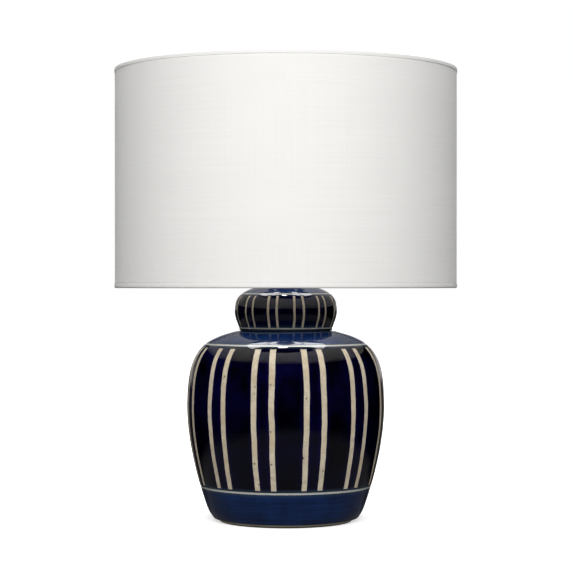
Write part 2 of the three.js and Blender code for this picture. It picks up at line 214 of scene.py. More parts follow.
def turned(name, outline, material, body, replaces=(), ease=THIN_EDGE, steps=96, turn=None):
    """A piece turned on the lathe, with eased corners, and stood where the matrix says."""
    bm = lathe(outline, ease, steps)
    if turn is not None:
        bmesh.ops.transform(bm, matrix=turn, verts=bm.verts)
    return piece(name, bm, material, body, replaces)


def thread(radius, pitch, bottom, top, depth, steps=36):
    """A closed thread ridge that winds up a bar of this radius."""
    turns = (top - bottom) / pitch - 0.8
    section = [(radius - depth, 0), (radius, pitch * 0.3), (radius, pitch * 0.42), (radius - depth, pitch * 0.72)]
    return spun([(r, bottom + z) for r, z in section], round(steps * turns), turns=turns, rise=pitch)


def wire_mesh(points, radius, sides=14):
    """A mesh tube of this radius along the points, with its ends filled."""
    curve = bpy.data.curves.new("wire", "CURVE")
    curve.dimensions = "3D"
    curve.bevel_depth = radius
    curve.bevel_resolution = sides // 2 - 2
    curve.use_fill_caps = True
    spline = curve.splines.new("POLY")
    spline.points.add(len(points) - 1)
    for point, place in zip(spline.points, points):
        point.co = (*place, 1)
    obj = bpy.data.objects.new("wire", curve)
    mesh = bpy.data.meshes.new_from_object(obj)
    bpy.data.objects.remove(obj)
    bpy.data.curves.remove(curve)
    bm = bmesh.new()
    bm.from_mesh(mesh)
    bpy.data.meshes.remove(mesh)
    bmesh.ops.remove_doubles(bm, verts=bm.verts, dist=1e-6)
    bmesh.ops.recalc_face_normals(bm, faces=bm.faces)
    return bm


def softened_copy(node, width=0.3 * MM, angle=math.radians(25)):
    """A bmesh copy of a frame node, merged, with its hard edges rounded over."""
    bm = bmesh.new()
    bm.from_mesh(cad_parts[node].data)
    bmesh.ops.remove_doubles(bm, verts=bm.verts, dist=1e-6)
    bmesh.ops.dissolve_limit(bm, angle_limit=math.radians(1), verts=bm.verts, edges=bm.edges)
    hard = [e for e in bm.edges if len(e.link_faces) == 2 and e.calc_face_angle() > angle]
    bmesh.ops.bevel(
        bm, geom=hard, offset=width, affect="EDGES", segments=2, profile=0.5, material=-1,
        clamp_overlap=True,
    )
    return bm


def screw_skin(radius, swing, pitch, bottom, top, thick, steps=48):
    """A thin wall with a rounded thread, as on a bulb's cap: one pitch's wave wound up and up."""
    turns = (top - bottom) / pitch - 1
    wave = [(radius - swing * math.cos(math.tau * k / 8), bottom + pitch * k / 8) for k in range(9)]
    bm = bmesh.new()
    points = [bm.verts.new((r, 0, z)) for r, z in wave]
    edges = [bm.edges.new(pair) for pair in zip(points, points[1:])]
    count = round(steps * turns)
    bmesh.ops.spin(
        bm, geom=points + edges, cent=(0, 0, 0), axis=(0, 0, 1), dvec=(0, 0, pitch / steps),
        angle=math.tau * count / steps, steps=count,
    )
    bmesh.ops.remove_doubles(bm, verts=bm.verts, dist=1e-6)
    bmesh.ops.recalc_face_normals(bm, faces=bm.faces)
    bmesh.ops.solidify(bm, geom=bm.faces[:], thickness=thick)
    return bm


def without(bm, tool):
    """The bmesh with the tool's shape taken away."""
    objects = []
    for label, source in (("left", bm), ("tool", tool)):
        mesh = bpy.data.meshes.new(label)
        source.to_mesh(mesh)
        source.free()
        objects.append(bpy.data.objects.new(label, mesh))
        bpy.context.scene.collection.objects.link(objects[-1])
    cut = objects[0].modifiers.new("cut", "BOOLEAN")
    cut.object, cut.operation, cut.solver = objects[1], "DIFFERENCE", "EXACT"
    result = bmesh.new()
    result.from_object(objects[0], bpy.context.evaluated_depsgraph_get())
    for obj in objects:
        mesh = obj.data
        bpy.data.objects.remove(obj)
        bpy.data.meshes.remove(mesh)
    return result


def bored(bm, radius, start, end):
    """The bmesh with a round hole cut through it from start to end."""
    along = Vector(end) - Vector(start)
    tool = bmesh.new()
    bmesh.ops.create_cone(
        tool, cap_ends=True, segments=48, radius1=radius, radius2=radius, depth=along.length,
        matrix=Matrix.Translation((Vector(start) + Vector(end)) / 2)
        @ along.to_track_quat("Z", "Y").to_matrix().to_4x4(),
    )
    return without(bm, tool)


# ---------------------------------------------------------------------------
# Materials
# ---------------------------------------------------------------------------


class Finish:
    """Writes one material's nodes, from its patterns to its shader."""

    def __init__(self, name):
        self.material = bpy.data.materials.new(name)
        self.material.use_nodes = True
        self.tree = self.material.node_tree
        self.shader = next(n for n in self.tree.nodes if n.type == "BSDF_PRINCIPLED")

    def put(self, socket, value):
        if isinstance(value, bpy.types.Node):
            value = value.outputs[0]
        if isinstance(value, bpy.types.NodeSocket):
            self.tree.links.new(value, socket)
        elif isinstance(value, (tuple, list)) and len(value) == 3 and socket.type == "RGBA":
            socket.default_value = (*value, 1)
        else:
            socket.default_value = value

    def node(self, kind, *values, **settings):
        """A new node: values fill its sockets in order, and settings its options or named sockets."""
        made = self.tree.nodes.new("ShaderNode" + kind)
        for name, value in settings.items():
            if hasattr(made, name):
                setattr(made, name, value)
            else:
                self.put(made.inputs[name.replace("_", " ")], value)
        for socket, value in zip(made.inputs, values):
            if value is not None:
                self.put(socket, value)
        return made

    def math(self, operation, *values, clamp=False):
        return self.node("Math", *values, operation=operation, use_clamp=clamp)

    def spread(self, value, low_in, high_in, low_out=0.0, high_out=1.0, smooth=False):
        return self.node(
            "MapRange", value, low_in, high_in, low_out, high_out,
            interpolation_type="SMOOTHSTEP" if smooth else "LINEAR",
        )

    def mix(self, share, one, other, blend="MIX"):
        """Colour one where share is 0, and the other where it is 1."""
        made = self.node("Mix", share, data_type="RGBA", blend_type=blend)
        self.put(made.inputs[6], one)
        self.put(made.inputs[7], other)
        return made.outputs[2]

    def place(self, stretch=(1, 1, 1)):
        """The piece's own coordinates in metres, stretched."""
        source = self.node("TexCoord").outputs["Object"]
        return self.node("Mapping", source, Scale=stretch)

    def noise(self, scale, detail=3.0, rough=0.5, where=None):
        return self.node("TexNoise", where or self.place(), Scale=scale, Detail=detail, Roughness=rough)

    def attribute(self, name):
        return self.node("Attribute", attribute_name=name).outputs["Fac"]

    def bump(self, height, distance, strength=1.0, after=None):
        made = self.node("Bump", Strength=strength, Distance=distance, Height=height)
        if after is not None:
            self.put(made.inputs["Normal"], after)
        return made

    def done(self, **sockets):
        for name, value in sockets.items():
            self.put(self.shader.inputs[name.replace("_", " ")], value)
        return self.material


def once(build):
    """Each finish is made once and then shared."""
    made = {}

    def get(*values):
        key = tuple(tuple(v) if hasattr(v, "__len__") and not isinstance(v, str) else v for v in values)
        if key not in made:
            made[key] = build(*key)
        return made[key]

    return get


RING_HALO = (0.030, 0.056, 0.090)  # the glaze where the rings' wash has bled into it
IRON_SPECK = (0.06, 0.035, 0.02)


@once
def glaze_over_clay(dark, thin, clay, wash):
    """Cobalt gloss glaze with the clay left bare where the piece's "clay" attribute says."""
    f = Finish("glaze_over_clay")
    # The glaze: thinner and bluer by its edges and where "tone" says, with drag marks round the pot.
    pooling = f.spread(f.noise(17, 4, 0.6), 0.42, 0.7)
    drag = f.spread(f.noise(1, 5, 0.65, f.place((14, 14, 260))), 0.3, 0.72)
    cloud = f.spread(f.noise(42, 4, 0.6), 0.32, 0.7)
    tone = f.attribute("tone")
    cobalt = [dark[0] * 9, dark[1] * 6, dark[2] * 21]
    upper = f.spread(f.node("SeparateXYZ", f.place()).outputs[2], 0.12, 0.22, 0.25, 0.9)
    deep = f.mix(f.math("MULTIPLY", pooling, upper), dark, cobalt)
    deep = f.mix(f.math("MULTIPLY", f.attribute("thin"), f.spread(cloud, 0, 1, 0.25, 1.0)), deep, cobalt)
    streak = f.math("MULTIPLY", tone, f.math("MULTIPLY_ADD", drag, 0.9, -0.45))
    blotch = f.math("MULTIPLY", tone, f.math("MULTIPLY_ADD", cloud, 0.5, -0.25))
    thinness = f.math("ADD", tone, f.math("ADD", streak, blotch), clamp=True)
    colour = f.mix(thinness, deep, thin)
    washed = f.attribute("wash")
    colour = f.mix(f.math("MULTIPLY", washed, f.spread(drag, 0, 1, 0.5, 1.0)), colour, RING_HALO)
    # The clay: warm, mottled, rubbed darker in places, with dark iron specks large and small.
    grain = f.noise(1400, 3, 0.7)
    mottle = f.spread(f.noise(150, 4, 0.65), 0.34, 0.66)
    rubbed = f.spread(f.noise(34, 4, 0.6), 0.45, 0.7)
    sandy = f.mix(mottle, clay, [c * 0.72 for c in clay])
    sandy = f.mix(f.math("MULTIPLY", rubbed, 0.5), sandy, (clay[0] * 0.72, clay[1] * 0.6, clay[2] * 0.46))
    sandy = f.mix(f.spread(grain, 0.35, 0.75, 0, 0.4), sandy, [c * 0.5 for c in clay])
    for scale, most, dark_share in ((190, 0.27, 0.9), (430, 0.27, 0.75)):
        cells = f.node("TexVoronoi", f.place(), Scale=scale, Randomness=1)
        size = f.spread(cells.outputs["Color"], 0.5, 1.0, -0.05, most)
        speck = f.spread(cells.outputs["Distance"], size, f.math("ADD", size, 0.05), dark_share, 0.0)
        sandy = f.mix(speck, sandy, IRON_SPECK)
    sandy = f.mix(f.math("MULTIPLY", f.spread(washed, 0.5, 1.0), 0.85), sandy, wash)
    # Where one meets the other, the line is a little ragged.
    ragged = f.math("MULTIPLY_ADD", f.noise(480, 4, 0.65), 0.8, -0.4)
    edge = f.math("ADD", f.attribute("clay"), ragged)
    bare = f.spread(edge, 0.38, 0.56, smooth=True)
    # The glaze's skin ripples softly. The clay is sandy.
    ripple = f.bump(f.noise(38, 3, 0.5), 0.5 * MM, 0.16)
    peel = f.bump(f.noise(420, 2, 0.5), 0.1 * MM, 0.05, ripple)
    sand = f.bump(grain, 0.25 * MM, 0.45)
    dry = f.math("MULTIPLY", bare, f.spread(washed, 0, 1, 1.0, 0.08))
    normal = f.node("Mix", dry, data_type="VECTOR")
    f.put(normal.inputs[4], peel)
    f.put(normal.inputs[5], sand)
    return f.done(
        Base_Color=f.mix(bare, colour, sandy),
        Roughness=f.math("MULTIPLY_ADD", dry, 0.78, 0.045),
        Normal=normal.outputs[1],
        IOR=1.5,
    )


@once
def woven_linen(colour, pitch):
    """Natural linen: two sets of uneven threads that follow the cloth's own map."""
    f = Finish("woven_linen")
    cloth = f.node("UVMap", uv_map="cloth")

    def threads(axis, seed):
        """A ridge for each thread along one direction, thick and thin along its length."""
        run, across = ((6, 900), (900, 6))[axis], ((55, 1), (1, 55))[axis]
        slub = f.noise(1, 3, 0.6, f.node("Mapping", cloth, Location=(seed, seed, 0), Scale=(*run, 1)))
        drift = f.noise(1, 2, 0.5, f.node("Mapping", cloth, Location=(seed, 0, 0), Scale=(*across, 1)))
        split = f.node("SeparateXYZ", cloth).outputs[1 - axis]
        turn = f.math("MULTIPLY_ADD", split, math.tau / pitch, f.math("MULTIPLY", drift, 9.0))
        ridge = f.spread(f.math("SINE", turn), -1, 1)
        return f.math("MULTIPLY", ridge, f.spread(slub, 0.25, 0.75, 0.55, 1.1)), slub

    weft, weft_slub = threads(0, 3.1)
    warp, warp_slub = threads(1, 17.7)
    over = f.math("MAXIMUM", weft, warp)
    shade = f.spread(over, 0.15, 0.95, 0.9, 1.0)
    tint = f.math("MULTIPLY", f.spread(weft_slub, 0.3, 0.75, 1.02, 0.94), f.spread(warp_slub, 0.3, 0.75, 1.01, 0.955))
    broad = f.spread(f.noise(1, 3, 0.5, f.node("Mapping", cloth, Scale=(5, 16, 1))), 0.3, 0.7, 0.99, 1.01)
    value = f.math("MULTIPLY", f.math("MULTIPLY", shade, tint), broad)
    grey = f.node("CombineXYZ", value, value, value)
    weave = f.bump(over, pitch * 0.3, 0.55)
    return f.done(
        Base_Color=f.mix(1.0, colour, grey, "MULTIPLY"),
        Roughness=0.93,
        Normal=weave,
        Sheen_Weight=0.12,
        Specular_IOR_Level=0.2,
    )


@once
def aged_metal(name, bright, dull, low_rough, high_rough, grain=1.0):
    """Metal with a lacquered, patchy age, fine turning marks, and duller, rougher patches here and there."""
    f = Finish(name)
    patches = f.spread(f.noise(70, 5, 0.65), 0.35, 0.7)
    fine = f.noise(900, 3, 0.6)
    marks = f.noise(1, 3, 0.7, f.place((120, 120, 2600)))
    share = f.math("MULTIPLY_ADD", f.spread(fine, 0.4, 0.8), 0.25, f.math("MULTIPLY", patches, 0.75))
    wear = f.math("ADD", f.math("MULTIPLY", patches, 0.6), f.math("MULTIPLY", marks, 0.4))
    rough = f.spread(wear, 0, 1, low_rough, high_rough)
    return f.done(
        Base_Color=f.mix(share, bright, dull),
        Metallic=1.0,
        Roughness=rough,
        Normal=f.bump(marks, 0.05 * MM, 0.12 * grain, f.bump(fine, 0.05 * MM, 0.1)),
    )


def antique_brass():
    return aged_metal("antique_brass", (0.50, 0.33, 0.14), (0.24, 0.15, 0.07), 0.22, 0.42)


def bright_brass():
    return aged_metal("bright_brass", (0.80, 0.56, 0.24), (0.62, 0.40, 0.16), 0.14, 0.30)


def zinc_steel():
    return aged_metal("zinc_steel", (0.58, 0.59, 0.60), (0.36, 0.37, 0.39), 0.28, 0.50, 1.6)


def lamp_metal():
    return aged_metal("lamp_cap_metal", (0.72, 0.72, 0.71), (0.50, 0.50, 0.50), 0.2, 0.36)


def mottled(name, colour, other, rough, scale, relief, fine_scale, **sockets):
    """A matt or satin finish: two near colours, a soft roughness change and a fine skin."""
    known = bpy.data.materials.get(name)
    if known:
        return known
    f = Finish(name)
    broad = f.spread(f.noise(scale, 4, 0.6), 0.3, 0.7)
    fine = f.noise(fine_scale, 3, 0.65)
    return f.done(
        Base_Color=f.mix(f.math("MULTIPLY_ADD", fine, 0.5, f.math("MULTIPLY", broad, 0.5)), colour, other),
        Roughness=f.spread(f.math("ADD", broad, fine), 0, 2, rough - 0.06, min(rough + 0.06, 1)),
        Normal=f.bump(fine, relief, 0.5),
        **sockets,
    )


def white_enamel():
    return mottled("white_enamel", (0.82, 0.81, 0.78), (0.74, 0.73, 0.69), 0.34, 60, 0.05 * MM, 900)


def styrene():
    return mottled("styrene_liner", (0.86, 0.85, 0.81), (0.82, 0.80, 0.75), 0.5, 14, 0.04 * MM, 1500)


def felt():
    dark, light = (0.022, 0.025, 0.030), (0.060, 0.064, 0.070)
    return mottled("grey_felt", dark, light, 0.94, 120, 0.5 * MM, 2200, Sheen_Weight=0.4)


def rubber():
    return mottled("black_rubber", (0.012, 0.012, 0.012), (0.026, 0.025, 0.024), 0.62, 120, 0.06 * MM, 1400)


def phenolic():
    return mottled("moulded_phenolic", (0.014, 0.010, 0.008), (0.035, 0.025, 0.018), 0.3, 90, 0.03 * MM, 1100)


def fibre_paper():
    return mottled("fibre_paper", (0.30, 0.23, 0.14), (0.20, 0.15, 0.09), 0.82, 150, 0.1 * MM, 2000)


def opal_glass():
    return mottled(
        "opal_glass", (0.90, 0.89, 0.86), (0.86, 0.85, 0.81), 0.16, 30, 0.02 * MM, 300,
        Transmission_Weight=0.3, Coat_Weight=0.6,
    )


def clear_glass():
    return mottled(
        "clear_glass", (0.93, 0.96, 0.96), (0.90, 0.94, 0.94), 0.06, 30, 0.02 * MM, 260, Transmission_Weight=0.9,
    )


# ---------------------------------------------------------------------------
# The sizes and colours that a user would change
# ---------------------------------------------------------------------------


def colour_setting(label, about, default):
    return bpy.props.FloatVectorProperty(
        name=label, description=about, default=default, subtype="COLOR", size=3, min=0.0, max=1.0)


def length_setting(label, about, default):
    return bpy.props.FloatProperty(
        name=label, description=about, default=default, unit="LENGTH", subtype="DISTANCE", precision=4)


def angle_setting(label, about, default):
    return bpy.props.FloatProperty(name=label, description=about, default=default, subtype="ANGLE")


def amount_setting(label, about, default):
    return bpy.props.FloatProperty(name=label, description=about, default=default, min=0.0)


class StageSettings(bpy.types.PropertyGroup):
    distance: length_setting("Camera distance", "From the camera to the lamp's axis", 2.353)
    height: length_setting("Camera height", "Above the table, level with the shade's rim", 0.2954)
    sideways: length_setting("Camera sideways", "How far the camera stands to the right of the axis", 0.0009)
    lens: bpy.props.FloatProperty(
        name="Lens", description="Focal length on a 36 mm sensor, in millimetres", default=116.8, unit="CAMERA")
    key: amount_setting("Key light", "Power of the soft light in front, in watts", 75.5)
    top: amount_setting("Top light", "Power of the soft light overhead, in watts", 38.0)
    spark: amount_setting("Small lamp", "Power of the small lamp high in front, in watts", 4.0)
    room: amount_setting("Room", "Brightness of the pale room all round, which only softens shadows", 0.41)
    backdrop: amount_setting("Backdrop", "Brightness of the white backdrop behind the lamp", 1.0)


class JarSettings(bpy.types.PropertyGroup):
    glaze: colour_setting("Glaze", "The glaze where it lies thick", (0.0003, 0.0003, 0.0016))
    thin_glaze: colour_setting("Thin glaze", "The glaze where it lies thin", (0.0050, 0.0250, 0.1050))
    clay: colour_setting("Clay", "The bare stoneware", (0.61, 0.535, 0.405))
    wash: colour_setting("Wash", "The pale glaze over the bare rings", (0.43, 0.44, 0.415))
    pairs: bpy.props.IntProperty(
        name="Stripe pairs", description="Pairs of bare stripes all the way round", default=12, min=3, max=24)
    body_stripe: length_setting("Body stripe", "Width of a stripe half way up the jar", 6.6 * MM)
    lid_stripe: length_setting("Lid stripe", "Width of a stripe on the lid", 2.7 * MM)
    half_gap: angle_setting(
        "Half gap", "From the middle of a pair to the middle of each of its stripes", math.radians(5.2))
    body_turn: angle_setting(
        "Body turn", "How far the jar's pairs are turned from an even start at the front", math.radians(1.9))
    glaze_depth: length_setting("Glaze depth", "How far the bare clay lies below the glaze", 0.35 * MM)
    waviness: length_setting("Waviness", "How far the wall wanders from true", 0.28 * MM)


class ShadeSettings(bpy.types.PropertyGroup):
    linen: colour_setting("Linen", "Colour of the linen", (0.84, 0.832, 0.812))
    thread_pitch: length_setting("Thread pitch", "From one thread to the next", 0.8 * MM)
    seam_width: length_setting("Seam width", "Width of the lap at the back", 12 * MM)
    slack: length_setting("Slack", "How far the cloth wanders from a true cylinder", 0.18 * MM)


class FittingSettings(bpy.types.PropertyGroup):
    harp_wire: length_setting("Harp wire", "Radius of the harp's wire", 2 * MM)
    spider_wire: length_setting("Spider wire", "Radius of the spider's arms", 1.5 * MM)
    knob_flutes: bpy.props.IntProperty(
        name="Knob flutes", description="Grooves round the switch knob", default=10, min=4, max=24)
    bulb_pitch: length_setting("Bulb pitch", "Rise of the bulb's thread in one turn", 0.0254 / 7)
    fine_pitch: length_setting(
        "Fine pitch", "Rise of the pipe's and the stud's thread in one turn", 0.0254 / 27)


# ---------------------------------------------------------------------------
# The stage
# ---------------------------------------------------------------------------


class LAMP_OT_stage(bpy.types.Operator):
    """Make the camera, the lights, the floor and the white backdrop"""

    bl_idname = "lamp.make_stage"
    bl_label = "Stage"

    def execute(self, context):
        sizes = context.scene.lamp_stage
        context.scene.view_settings.view_transform = "Standard"
        self.make_camera(context.scene, sizes)
        self.make_lights(sizes)
        self.make_floor()
        self.make_backdrop(context.scene, sizes)
        return {"FINISHED"}

    def make_camera(self, scene, sizes):
        data = bpy.data.cameras.new("camera")
        data.lens, data.sensor_width = sizes.lens, 36
        data.clip_start, data.clip_end = 0.05, 50
        camera = bpy.data.objects.new("camera", data)
        camera.location = (sizes.sideways, -sizes.distance, sizes.height)
        camera.rotation_euler = (math.pi / 2, 0, 0)
        scene.collection.objects.link(camera)
        scene.camera = camera

    def make_lights(self, sizes):
        """A broad soft light in front, one overhead, and a small lamp high in front for the sparks."""
        middle = Vector((0, 0, 0.33))
        for name, place, size, power, glossy in (
            ("front_light", (-0.03, -2.6, 1.55), (1.7, 1.3), sizes.key, False),
            ("top_light", (0, 0.56, 2.1), (1.9, 0.85), sizes.top, True),
            ("small_lamp", (-0.04, 0.01, 1.9), (0.14, 0.16), sizes.spark, True),
        ):
            data = bpy.data.lights.new(name, "AREA")
            data.shape, data.energy = "RECTANGLE", power
            data.size, data.size_y = size
            light = bpy.data.objects.new(name, data)
            light.location = place
            light.rotation_euler = (middle - Vector(place)).to_track_quat("-Z", "Y").to_euler()
            light.visible_glossy = glossy
            light.visible_camera = False
            bpy.context.scene.collection.objects.link(light)

    def make_floor(self):
        bm = bmesh.new()
        bmesh.ops.create_grid(bm, x_segments=8, y_segments=8, size=30)
        mesh = bpy.data.meshes.new("floor")
        bm.to_mesh(mesh)
        bm.free()
        f = Finish("pale_floor")
        source = f.node("TexCoord").outputs["Object"]
        # The floor glows, more the further it lies from the lamp. This is painted light that keeps the far floor as
        # white as the backdrop, while nearer the lamp it glows less so the lamp's shadow shows.
        away = f.spread(f.node("VectorMath", source, operation="LENGTH").outputs["Value"], 0.12, 0.42, 0.55, 1.0)
        mesh.materials.append(
            f.done(
                Base_Color=(0.8, 0.8, 0.8), Roughness=0.9, Specular_IOR_Level=0.0,
                Emission_Color=(1, 1, 1), Emission_Strength=away,
            )
        )
        output = next(n for n in f.tree.nodes if n.type == "OUTPUT_MATERIAL")
        clear = f.node("MixShader", f.node("NewGeometry").outputs["Backfacing"])
        f.put(clear.inputs[1], f.shader.outputs[0])
        f.put(clear.inputs[2], f.node("BsdfTransparent"))
        f.put(output.inputs["Surface"], clear)
        floor = bpy.data.objects.new("floor", mesh)
        floor.visible_glossy = floor.visible_diffuse = False
        bpy.context.scene.collection.objects.link(floor)

    def make_backdrop(self, scene, sizes):
        """The world: white behind the lamp, dark where the camera stands, a dim table below."""
        world = bpy.data.worlds.new("studio")
        scene.world = world
        world.use_nodes = True
        tree = world.node_tree
        link = tree.links.new

        def node(kind, *values, **settings):
            made = tree.nodes.new("ShaderNode" + kind)
            for name, value in settings.items():
                setattr(made, name, value)
            for socket, value in zip(made.inputs, values):
                if isinstance(value, bpy.types.NodeSocket):
                    link(value, socket)
                elif value is not None:
                    socket.default_value = value
            return made.outputs[0]

        way = tree.nodes.new("ShaderNodeSeparateXYZ")
        link(tree.nodes.new("ShaderNodeTexCoord").outputs["Generated"], way.inputs[0])
        forward, upward = way.outputs["Y"], way.outputs["Z"]
        # Behind the lamp, from a little past square on to the camera's own direction.
        behind = node("MapRange", forward, 0.80, 0.94, 0.0, 1.0)
        above = node("MapRange", upward, -0.02, 0.02, 0.06, 1.0)
        fading = node("MapRange", upward, 0.02, 0.22, 1.0, 0.10)
        glow = node("Math", node("Math", behind, above, operation="MULTIPLY"), fading, operation="MULTIPLY")
        below = node("MapRange", upward, -0.30, -0.24, 0.10, 0.0)
        seen = node("Math", node("Math", glow, sizes.backdrop, operation="MULTIPLY"), below, operation="MAXIMUM")
        rays = tree.nodes.new("ShaderNodeLightPath").outputs
        fill = node("MapRange", upward, -0.35, 0.05, sizes.room * 0.5, sizes.room)
        room = node("Math", rays["Is Diffuse Ray"], fill, operation="MULTIPLY")
        around = node("Math", seen, room, operation="MAXIMUM")
        strength = node("Math", around, rays["Is Camera Ray"], operation="MAXIMUM")
        background = next(n for n in tree.nodes if n.type == "BACKGROUND")
        background.inputs["Color"].default_value = (1, 1, 1, 1)
        link(strength, background.inputs["Strength"])


# ---------------------------------------------------------------------------
# The jar and its lid
# ---------------------------------------------------------------------------

# Outside of the jar, from the glaze line at the foot up to the ledge that the lid stands on.
JAR_OUTSIDE = mm(
    (91.6, 4.6), (98.2, 15), (105.4, 36), (112.6, 61), (119.2, 91), (123.6, 124), (124.6, 152),
    (121.6, 185), (114.6, 207), (102, 223), (84, 232.8), (62, 239.5),
)
JAR_MOUTH = mm((46, 239.5), (46, 249), (44.5, 250.5), (40.5, 250.5), (40.5, 233))
JAR_FOOT = mm(
    (93, 34), (7.5, 34), (7.5, 27), (88, 27), (91.5, 23.5), (84, 7.5), (75.5, 2.4), (76.5, 1.5), (83.6, 1.5),
    (85.2, 1.9), (90.9, 4.2),
)
LID_OUTSIDE = mm(
    (59, 242.4), (60.6, 247.6), (63.6, 256), (64.9, 266), (62.6, 278), (56.2, 286), (46, 291.6), (34, 295.2),
    (22, 297),
)
LID_TOP = mm((20, 297.4), (6.3, 297.4), (6, 297.1), (6, 291.4))
LID_SEAT = mm((50, 243.5), (49.2, 240.2), (49.5, 239.8), (57.9, 239.8), (58.4, 240.1), (58.9, 242.1))

WALL = 6.5 * MM
LID_WALL = 6 * MM
LIP = 0.35 * MM  # the width of the step from glaze down to clay
ROW = 2.4 * MM  # height of the mesh's rows
BLEED = 4.2 * MM  # how far a ring's wash runs into the glaze
CORD_HOLE = 6 * MM
RIM_DROP = 2.5 * MM  # a lid's rim is glazed this far below its wall,
RIM_INSIDE = 57.5 * MM  # outside this radius

# Where each column of one pair of stripes stands: between two edges, and how far along.
# The edges are the sector's start, then outside, inside, inside and outside of each stripe, then its end.
PAIR_COLUMNS = (
    (0, 1, 0.0), (0, 1, 0.34), (0, 1, 0.64), (0, 1, 0.88), (1, 1, 0.0), (2, 2, 0.0), (2, 3, 0.33), (2, 3, 0.67),
    (3, 3, 0.0), (4, 4, 0.0), (4, 5, 0.33), (4, 5, 0.67), (5, 5, 0.0), (6, 6, 0.0), (6, 7, 0.33), (6, 7, 0.67),
    (7, 7, 0.0), (8, 8, 0.0), (8, 9, 0.12), (8, 9, 0.36), (8, 9, 0.66),
)
BARE_COLUMNS = (5, 6, 7, 8, 13, 14, 15, 16)
THIN_COLUMNS = {4: 1.0, 9: 1.0, 12: 1.0, 17: 1.0, 3: 0.3, 18: 0.3, 10: 0.25, 11: 0.25}


